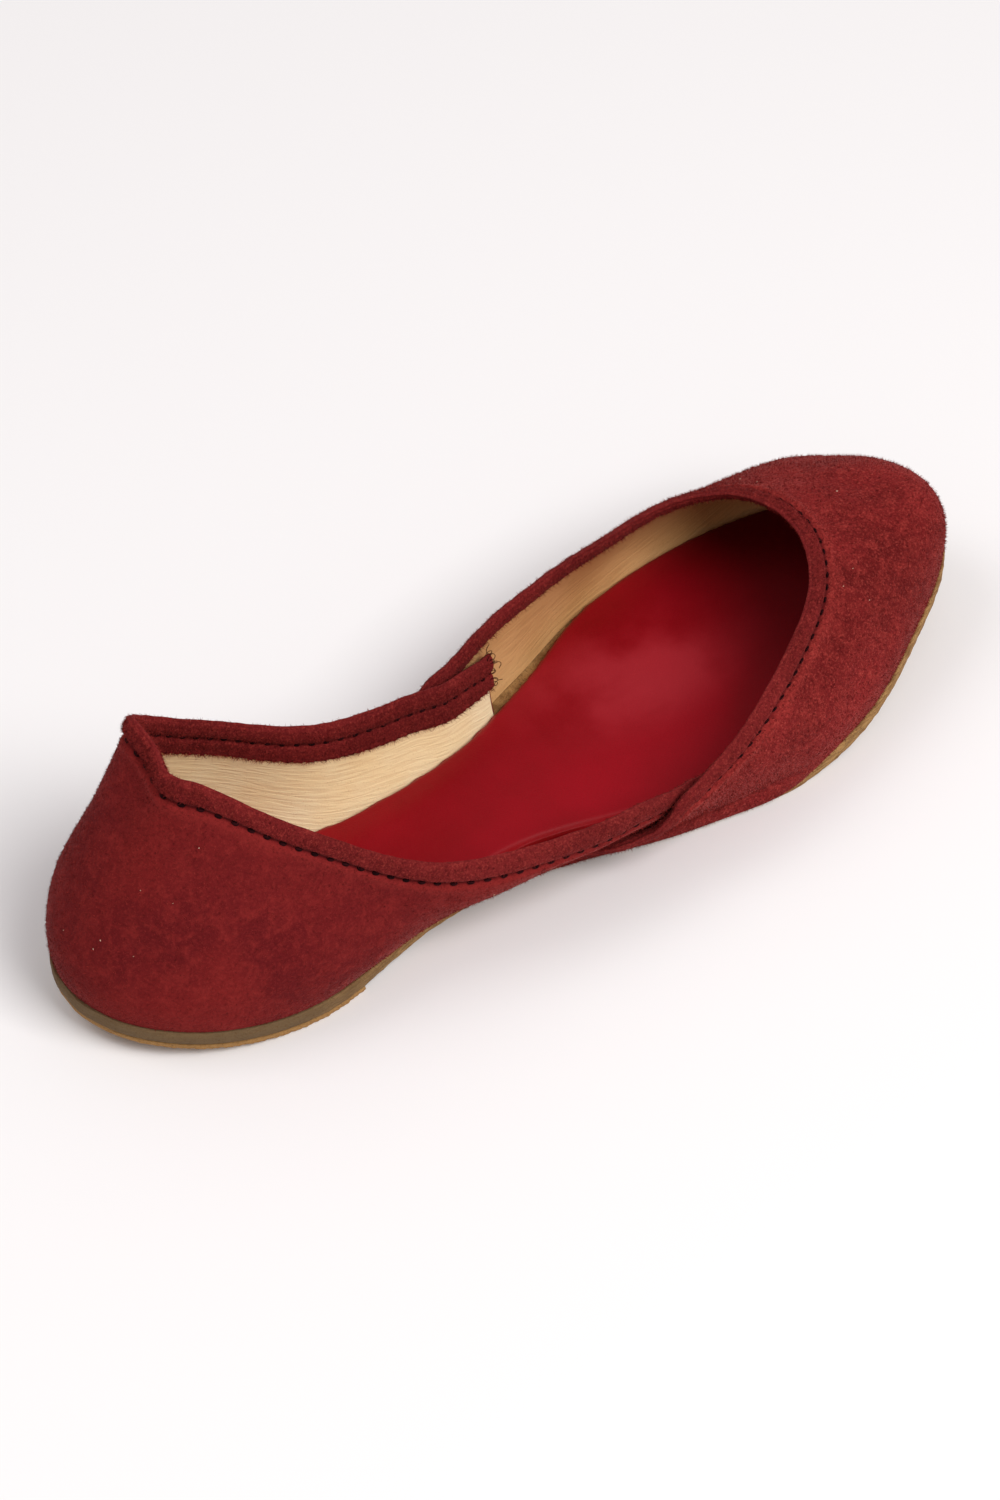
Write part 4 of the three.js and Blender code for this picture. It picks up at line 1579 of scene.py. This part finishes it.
    def strip_course(self, share: np.ndarray, top: np.ndarray) -> tuple[np.ndarray, np.ndarray, np.ndarray]:
        """The strip's section from its sewn outer edge over the fold to its raw inner edge.

        Args:
            share: Places across the strip, from 0 at the outer edge to 1 at the inner.
            top: The piece's top at each place, as a distance up from the foot line.

        Returns:
            Distances down from the top, depths over the last and distances from the nearest seam or edge.
        """
        middle, radius, outer, end = self.strip_runs(top)
        turn = outer - radius
        folded = turn + math.pi * radius
        total = folded + end
        walk = share * total
        first = np.clip(walk / turn, 0, 1)
        angle = np.clip((walk - turn) / radius, 0, math.pi)
        third = np.clip((walk - folded) / end, 0, 1)
        is_outer, is_inner = walk < turn, walk > folded
        down = np.where(is_outer, outer - first * turn, radius * (1 - np.sin(angle)))
        down = np.where(is_inner, radius + third * end, down)
        depth = middle + radius * np.cos(angle)
        lip = self.last.wall - self.groove + self.strip_lip
        depth = np.where(is_outer, lip + (depth - lip) * smooth(outer - down, 0, self.strip_lip_run), depth)
        depth += self.strip_puff * np.sin(math.pi * first) * is_outer
        past = down - self.inner_seam
        edge = np.minimum(walk, (total - walk) * self.raw_weight)
        inner_relief = -self.strip_puff * (1 - np.exp(-((past / self.inner_puff_reach) ** 2)))
        if self.has_inner_seam():
            inner_relief += self.inner_press * np.exp(-((past / self.inner_press_reach) ** 2))
            edge = np.where(is_inner, np.minimum(edge, np.abs(past)), edge)
        depth += inner_relief * is_inner * smooth(third, 0, self.inner_start)
        return down, depth, edge

    def strip_place(self, station: np.ndarray, v: np.ndarray, w: np.ndarray) -> np.ndarray:
        """Points of the strip on the last.

        Args:
            station: Places round the last.
            v: Shares across the strip.
            w: 0 for its underside and 1 for its face.

        Returns:
            Points in the last's millimetres.
        """
        girth, top, _ = self.levels(station)
        down, depth, _ = self.strip_course(v, top)
        step = 0.004
        before = self.strip_course(np.clip(v - step, 0, 1), top)
        after = self.strip_course(np.clip(v + step, 0, 1), top)
        across = unit(np.stack([after[0] - before[0], after[1] - before[1]], 1))
        sunk = (1 - w) * self.strip_thickness
        walk = self.walked(station)
        ragged = sum(wave.at(walk) for wave in RAGGED_WAVES)
        down = down + ragged * smooth(v, self.raw_share, 1.0) + across[:, 1] * sunk
        pull = self.edge_pull * self.pulled(walk) * np.exp(-((v / self.edge_share) ** 2))
        depth = depth - pull + across[:, 0] * sunk
        # The band's thickness wanders, as hands leave it
        wander = np.sin(walk * 0.9 + 2 * np.sin(walk * 0.23))
        depth = depth + self.uneven * wander * (1 - smooth(v, self.even_share, 1))
        point, normal, _ = self.last.placed(station, (top - down) / girth)
        # Past the rim the strip goes straight on, the way that the last's surface ends
        ones = np.ones(len(station))
        rise = unit(self.last.surface(station, ones) - self.last.surface(station, ones * 0.98))
        point += rise * np.maximum(top - down - girth, 0)[:, None]
        return point + normal * (self.stand(station) + depth)[:, None]

    def strip(self) -> bpy.types.Object:
        """The binding: one strip folded over the top edge, puffed between its fold and the seam.

        Returns:
            The finished strip.
        """
        piece = add_slab(f"{self.part.value}_strip", self.strip_columns, self.strip_rows)
        u, v, w = shares_of(piece)
        station = self.station_at(u)
        write_points(piece, self.last.framed(self.strip_place(station, v, w)))
        _, top, _ = self.levels(station)
        _, _, edge = self.strip_course(v, top)
        write_map(piece, "Wrap", self.walked(station), edge)
        finish_piece(piece, self.finishes.binding, 60)
        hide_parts(f"{self.part.value}_binding")
        return piece

    def sewn(self, name: str, station: np.ndarray, places: np.ndarray, up: np.ndarray) -> bpy.types.Object:
        """Short dashes of thread at the places of a seam.

        Args:
            name: The row's name.
            station: The dashes' places round the last.
            places: The dashes' middles in the last's millimetres.
            up: Their distances up from the foot line.

        Returns:
            The row as one piece.
        """
        deselect_all()
        bpy.ops.mesh.primitive_uv_sphere_add(segments=8, ring_count=6, radius=0.5, location=(0, 0, 0))
        template = named_active("stitch_shape")
        girth, _, _ = self.levels(station)
        _, normal, along = self.last.placed(station, up / girth)
        side = np.cross(normal, along)
        thick = self.stitch_width
        turns = columns_of(along * self.stitch_length, side * thick, normal * thick) * MM
        piece = joined_copies(f"{self.part.value}_{name}", template, self.last.framed(places), turns)
        finish_piece(piece, self.finishes.thread)
        return piece

    def stitch_stations(self) -> np.ndarray:
        """The stations of the stitches, where the piece is tall enough to be sewn.

        Returns:
            One station to a stitch.
        """
        stations, run = self.seam_run()
        walk = np.arange(self.stitch_pitch, run[-1] - self.stitch_pitch, self.stitch_pitch)
        station = np.interp(walk, run, stations)
        _, top, _ = self.levels(station)
        return station[top > self.tall * self.outer_band]

    def stitches(self) -> None:
        """The seam's stitches along the strip's outer edge, and the second row inside where it is deep."""
        station = self.stitch_stations()
        girth, top, seam = self.levels(station)
        up = seam - self.stitch_drop
        point, normal, _ = self.last.placed(station, up / girth)
        depth = self.stand(station) + self.last.wall - self.groove + self.stitch_stand
        self.sewn("stitches", station, point + normal * depth[:, None], up)
        if not self.has_inner_seam():
            return
        _, radius, outer, end = self.strip_runs(top)
        folded = outer - radius + math.pi * radius
        share = (folded + self.inner_seam - radius) / (folded + end)
        places = self.strip_place(station, share, np.ones(len(station)))
        self.sewn("inner_stitches", station, places, top - self.inner_seam)

    def suede_fuzz(self) -> bpy.types.Object:
        """Fibres that stand out of the suede's face.

        Returns:
            The fibres as one piece.
        """
        fuzz = self.pile
        rng = fuzz.rng()
        station = self.station_at(rng.uniform(*self.pile_ends, fuzz.count))
        _, _, seam = self.levels(station)
        roots, normals = self.faced(station, (seam - self.pile_clear) * rng.uniform(0, 1, fuzz.count))
        framed = self.last.framed(roots)
        return fuzz.grow(f"{self.part.value}_pile", framed, normals, self.finishes.pile, "suede")

    def strip_fuzz(self, name: str, fuzz: Fuzz, across: tuple[float, float]) -> bpy.types.Object:
        """Fibres that stand out of the strip between two shares across it.

        Args:
            name: The stretch's name.
            fuzz: Its fibres.
            across: Where across the strip it starts and ends.

        Returns:
            The fibres as one piece.
        """
        rng = fuzz.rng()
        station = self.station_at(rng.uniform(*self.pile_ends, fuzz.count))
        v = rng.uniform(*across, fuzz.count)
        roots = self.strip_place(station, v, np.ones(fuzz.count))
        normals = unit(roots - self.strip_place(station, v, np.zeros(fuzz.count)))
        framed = self.last.framed(roots)
        return fuzz.grow(f"{self.part.value}_{name}", framed, normals, self.finishes.pile, "binding_suede")

    def build(self) -> None:
        """Builds the piece with its lining, strip, seams and nap."""
        self.suede()
        self.lining()
        self.strip()
        self.stitches()
        self.suede_fuzz()
        self.strip_fuzz("strip_pile", self.strip_pile, (0.02, 0.98))
        self.strip_fuzz("fringe", self.fringe, (0.985, 1.0))


@dataclass(frozen=True)
class LooseThreads:
    """Dark threads that curl out of the quarter's cut end on its far side. Sizes are in millimetres."""

    strands: int = 9
    points: int = 16
    radius: float = 0.085
    length: tuple[float, float] = (4.0, 9.0)
    from_end: tuple[float, float] = (0.0, 0.05)
    across: tuple[float, float] = (0.3, 0.98)
    level: float = 0.7
    curl: tuple[float, float] = (0.8, 1.8)
    curl_depth: float = 0.4
    turns: tuple[float, float] = (5, 11)
    ahead: tuple[float, float] = (0.2, 0.7)
    inward: tuple[float, float] = (0.0, 0.5)
    rise: tuple[float, float] = (-0.5, 0.9)
    slackness: float = 0.55
    seed: int = 5

    def course(self, quarter: UpperPiece, rng: np.random.Generator) -> np.ndarray:
        """One thread's points, from inside the cut end out to its curled tip.

        Args:
            quarter: The piece whose first cut end it comes from.
            rng: The threads' source of chance.

        Returns:
            Points in the last's millimetres, one to a row.
        """
        station = np.array([quarter.reach[0].station + rng.uniform(*self.from_end)])
        v = np.array([rng.uniform(*self.across)])
        level = np.array([self.level])
        root = quarter.strip_place(station, v, level)[0]
        _, normals, tangents = quarter.last.placed(station, level)
        normal, along = normals[0], -tangents[0]
        share = np.linspace(0, 1, self.points)[:, None]
        reach, curl = rng.uniform(*self.length), rng.uniform(*self.curl)
        turn = rng.uniform(*self.turns) * share + rng.uniform(0, 6)
        up = np.array([0.0, 0.0, 1.0])
        drift = along * rng.uniform(*self.ahead) - normal * rng.uniform(*self.inward)
        drift = drift + up * rng.uniform(*self.rise)
        path = root + drift * reach * share * self.slackness
        winding = np.cos(turn) * up + np.sin(turn) * along - self.curl_depth * np.sin(turn) * normal
        return path + curl * share**0.5 * winding

    def build(self, quarter: UpperPiece) -> bpy.types.Object:
        """Lets the threads out of the cut end and turns them into one mesh.

        Args:
            quarter: The piece whose first cut end they come from.

        Returns:
            The threads as one piece.
        """
        rng = np.random.default_rng(self.seed)
        deselect_all()
        bpy.ops.curve.primitive_bezier_curve_add(location=(0, 0, 0))
        curve = bpy.context.object.data
        curve.splines.clear()
        curve.dimensions = "3D"
        curve.bevel_depth = self.radius * MM
        curve.bevel_resolution = 1
        curve.use_fill_caps = True
        curve.resolution_u = 2
        for _ in range(self.strands):
            framed = quarter.last.framed(self.course(quarter, rng))
            spline = curve.splines.new("NURBS")
            spline.points.add(self.points - 1)
            spline.use_endpoint_u = True
            spline.order_u = 4
            spline.points.foreach_set("co", np.column_stack([framed, np.ones(self.points)]).ravel())
        bpy.ops.object.convert(target="MESH")
        piece = named_active("loose_threads")
        finish_piece(piece, quarter.finishes.thread)
        return piece


@dataclass(frozen=True)
class Lint:
    """Pale specks of lint that the nap holds."""

    count: int
    seed: int
    along: tuple[float, float] = (0.3, 0.95)
    up: tuple[float, float] = (0.15, 0.9)
    size: tuple[float, float] = (0.16, 0.34)
    stretch: float = 1.6
    stand: float = 0.1

    def build(self, piece: UpperPiece) -> bpy.types.Object:
        """Lays the specks on a piece's suede face.

        Args:
            piece: The suede piece.

        Returns:
            The specks as one piece.
        """
        rng = np.random.default_rng(self.seed)
        deselect_all()
        bpy.ops.mesh.primitive_ico_sphere_add(subdivisions=1, radius=0.5, location=(0, 0, 0))
        template = named_active("speck_shape")
        station = piece.station_at(rng.uniform(*self.along, self.count))
        _, _, seam = piece.levels(station)
        roots, normals = piece.faced(station, seam * rng.uniform(*self.up, self.count))
        side = unit(np.cross(normals, rng.normal(size=normals.shape)))
        size = rng.uniform(*self.size, self.count)[:, None]
        turns = columns_of(side * size * self.stretch, np.cross(normals, side) * size, normals * size) * MM
        places = piece.last.framed(roots + normals * self.stand)
        specks = joined_copies(f"{piece.part.value}_lint", template, places, turns)
        finish_piece(specks, piece.finishes.lint)
        return specks


@dataclass
class Sole:
    """What the foot stands on: the outsole with its raw edge, the heel's lift and the padded insole."""

    last: Last
    finishes: Finishes
    lift_length: float = 58
    lift_inset: float = 0.6
    insole_thickness: float = 2.6
    insole_margin: float = 0.35
    insole_edge: float = 0.25
    insole_roll: float = 1.6
    insole_crown: float = 0.5
    insole_crown_run: float = 9
    insole_wave: float = 0.25
    insole_wave_run: tuple[float, float] = (4, 14)
    heel_seat: float = 0.8
    heel_seat_at: tuple[float, float] = (0.2, 0.11)
    heel_seat_run: tuple[float, float] = (4, 16)
    end_trim: float = 0.12
    edge_round: float = 0.6
    edge_rough: float = 0.14
    least_half: float = 0.02
    columns: int = 220
    rows: int = 22
    insole_rows: int = 40
    edge_layers: int = 6

    def plate(
        self,
        name: str,
        outline: Outline,
        ends: tuple[float, float],
        heights: Callable[[np.ndarray], tuple[np.ndarray, np.ndarray]],
    ) -> bpy.types.Object:
        """A flat piece with a rounded raw edge, from a slab carried to an outline.

        Args:
            name: The piece's name.
            outline: Its sides.
            ends: Where it starts and ends along the shoe.
            heights: Gives its lower and upper face at a distance along the shoe.

        Returns:
            The plate, without its finish.
        """
        piece = add_slab(name, self.columns, self.rows, self.edge_layers)
        u, v, w = shares_of(piece, self.edge_layers)
        off_middle = np.abs(2 * w - 1)
        inset = self.edge_round * off_middle**4
        start, end = ends[0] + inset, ends[1] - inset
        x = start + (end - start) * (0.5 - 0.5 * np.cos(math.pi * u))
        right, left = outline.right(x), outline.left(x)
        half = np.maximum((left - right) / 2 - inset, self.least_half)
        # Waves that never line up, as a knife and a rasp leave them
        rough = np.sin(x * 1.7 + 5 * w) * np.sin(x * 0.61 + 1) + 0.6 * np.sin(x * 4.3 + 9 * w)
        half = half + self.edge_rough * rough * np.minimum(half / 4, 1) * (off_middle < 0.99)
        y = (right + left) / 2 + half * -np.cos(math.pi * v)
        low, high = heights(x)
        write_points(piece, self.last.framed(np.stack([x, y, low + (high - low) * w], 1)))
        return piece

    def outsole(self) -> bpy.types.Object:
        """The outsole: one thickness of leather from heel to toe.

        Returns:
            The finished outsole.
        """
        last = self.last
        outline = Outline(last.outline)
        ends = (outline.rear + self.end_trim, outline.front - self.end_trim)
        piece = self.plate("sole_leather_layer", outline, ends,
                           lambda x: (last.sole_bottom(x), last.sole_top(x)))
        finish_piece(piece, self.finishes.sole)
        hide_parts("outsole")
        return piece

    def heel_lift(self) -> bpy.types.Object:
        """The lift under the heel, cut straight across at its front.

        Returns:
            The finished lift.
        """
        last = self.last
        outline = Outline(lambda s: last.outline(s) - last.outward(s) * self.lift_inset)
        ends = (outline.rear + self.end_trim, self.lift_length)
        piece = self.plate("heel_lift_layer", outline, ends,
                           lambda x: (last.floor_rise(x), last.sole_bottom(x) - last.gap))
        finish_piece(piece, self.finishes.lift)
        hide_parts("heel_lift")
        return piece

    def insole(self) -> bpy.types.Object:
        """The padded insole: red leather drawn over a thin pad, its edge rolled down against the lining.

        Returns:
            The finished insole.
        """
        outline = Outline(lambda s: self.last.foot_line(s) - self.last.outward(s) * self.insole_margin)
        piece = add_slab("padded_insole", self.columns, self.insole_rows)
        u, v, w = shares_of(piece)
        length = outline.front - outline.rear - 2 * self.end_trim
        x = outline.rear + self.end_trim + length * (0.5 - 0.5 * np.cos(math.pi * u))
        right, left = outline.right(x), outline.left(x)
        y = (right + left) / 2 - (left - right) / 2 * np.cos(math.pi * v)
        depth = outline.depth(x, y)
        rolled = np.sqrt(1 - (1 - np.clip(depth / self.insole_roll, 0, 1)) ** 2)
        wave = self.insole_wave * np.sin(x * 0.045 + 0.6) * smooth(depth, *self.insole_wave_run)
        crown = self.insole_crown * smooth(depth, 0, self.insole_crown_run) + wave
        middle, reach = self.heel_seat_at
        share = x / self.last.length
        seat = -self.heel_seat * np.exp(-(((share - middle) / reach) ** 2))
        seat *= smooth(depth, *self.heel_seat_run)
        base = self.last.sole_top(x) + self.last.gap
        top = base + self.insole_edge + (self.insole_thickness - self.insole_edge) * rolled + crown + seat
        z = np.where(w > 0.5, top, base)
        write_points(piece, self.last.framed(np.stack([x, y, z], 1)))
        finish_piece(piece, self.finishes.insole, 60)
        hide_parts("insole")
        return piece

    def build(self) -> None:
        """Builds the sole's three layers."""
        self.outsole()
        self.heel_lift()
        self.insole()


class Softbox(NamedTuple):
    """A square soft lamp: its name, its place and side in metres, its power in watts and its colour."""

    name: str
    place: tuple[float, float, float]
    size: float
    power: float
    colour: str


@dataclass(frozen=True)
class Studio:
    """The camera at the photograph's angle, soft light from above and from both sides, and a pale floor."""

    azimuth: float = -34.92
    elevation: float = 44.82
    distance: float = 900
    aim: tuple[float, float, float] = (0.82, -3.28, 25)
    frame_px: tuple[int, int] = (1000, 1500)
    aim_px: tuple[float, float] = (534.0, 718.6)
    focal_px: float = 3839.9
    sensor: float = 36
    front: Softbox = Softbox("front_softbox", (0.42, -1.4, 1.75), 1.3, 40, "#fffdfb")
    rear: Softbox = Softbox("back_softbox", (-1.1, 0.7, 1.9), 1.2, 10, "#fffdfc")
    floor_size: float = 8
    floor_colour: str = "#f5f4f5"
    room_colour: str = "#fffafa"
    room_strength: float = 0.42

    def back(self) -> Vector:
        """The way from the shoe to the camera."""
        a, e = math.radians(self.azimuth), math.radians(self.elevation)
        return Vector((math.sin(a) * math.cos(e), -math.cos(a) * math.cos(e), math.sin(e)))

    def camera(self) -> bpy.types.Object:
        """The camera, turned so that the aimed point falls on its own pixel of the photograph.

        Returns:
            The camera.
        """
        back = self.back()
        right = Vector((0, 0, 1)).cross(back).normalized()
        up = back.cross(right)
        aim = Vector(self.aim)
        scale = self.distance / self.focal_px
        off_right = (self.frame_px[0] / 2 - self.aim_px[0]) * scale
        off_up = (self.aim_px[1] - self.frame_px[1] / 2) * scale
        target = aim + right * off_right + up * off_up
        place = aim + back * self.distance
        turn = (place - target).to_track_quat("Z", "Y").to_euler()
        bpy.ops.object.camera_add(location=place * MM, rotation=turn)
        camera = bpy.context.object
        camera.data.sensor_width = self.sensor
        camera.data.lens = self.focal_px / self.frame_px[1] * self.sensor
        bpy.context.scene.camera = camera
        return camera

    def hang(self, softbox: Softbox) -> None:
        """Hangs a lamp at its place, turned to the shoe.

        Args:
            softbox: The lamp's sizes.
        """
        turn = Vector(softbox.place).to_track_quat("Z", "Y").to_euler()
        bpy.ops.object.light_add(type="AREA", location=softbox.place, rotation=turn)
        lamp = bpy.context.object
        lamp.name = softbox.name
        lamp.data.size = softbox.size
        lamp.data.energy = softbox.power
        lamp.data.color = linear(softbox.colour)[:3]

    def floor(self) -> None:
        """The pale floor, which is no part of the shoe: smooth paper that only scatters light."""
        bpy.ops.mesh.primitive_plane_add(size=self.floor_size, location=(0, 0, 0))
        floor = named_active("floor")
        material, tree = new_material("pale_paper")
        shader = add_node(tree, "BsdfPrincipled", {
            "Base Color": linear(self.floor_colour), "Roughness": 0.7, "Specular IOR Level": 0.1,
        })
        add_node(tree, "OutputMaterial", {"Surface": shader.outputs[0]})
        floor.data.materials.append(material)

    def room(self) -> None:
        """Soft light from all round."""
        world = bpy.data.worlds.new("soft_room")
        world.use_nodes = True
        background = world.node_tree.nodes["Background"]
        background.inputs["Color"].default_value = linear(self.room_colour)
        background.inputs["Strength"].default_value = self.room_strength
        bpy.context.scene.world = world

    def build(self) -> None:
        """Sets camera, lamps, floor and room."""
        deselect_all()
        self.camera()
        self.hang(self.front)
        self.hang(self.rear)
        self.floor()
        self.room()
        bpy.context.scene.view_settings.view_transform = "Standard"


def main() -> None:
    """Builds the stage and the shoe, piece by piece."""
    logging.basicConfig(level=logging.INFO, format="%(name)s: %(message)s")
    finishes = Finishes()
    last = Last()
    Studio().build()
    Sole(last, finishes).build()
    quarter = UpperPiece(
        Part.QUARTER, last, finishes, QUARTER_REACH, QUARTER_CREASES,
        pile=Fuzz(26000, (0.35, 0.8), seed=11),
        strip_pile=Fuzz(20000, (0.5, 1.2), seed=12),
        fringe=Fuzz(3200, (0.8, 1.9), radius=0.06, lean=1.0, seed=13),
        inner_band=10.5, outer_band=5.5, stitch_pitch=4.0, stitch_width=1.0, skirt=1.6,
    )
    vamp = UpperPiece(
        Part.VAMP, last, finishes, VAMP_REACH, VAMP_CREASES,
        pile=Fuzz(30000, (0.5, 1.1), seed=11),
        strip_pile=Fuzz(10000, (0.5, 1.2), seed=12),
        fringe=Fuzz(1600, (0.8, 1.9), radius=0.06, lean=1.0, seed=13),
        inner_band=4.5, outer_band=4.0, stitch_pitch=3.6, stitch_width=0.6, skirt=2.6,
    )
    quarter.build()
    vamp.build()
    LooseThreads().build(quarter)
    Lint(count=11, seed=8).build(quarter)
    Lint(count=14, seed=9).build(vamp)


if __name__ == "__main__":
    main()
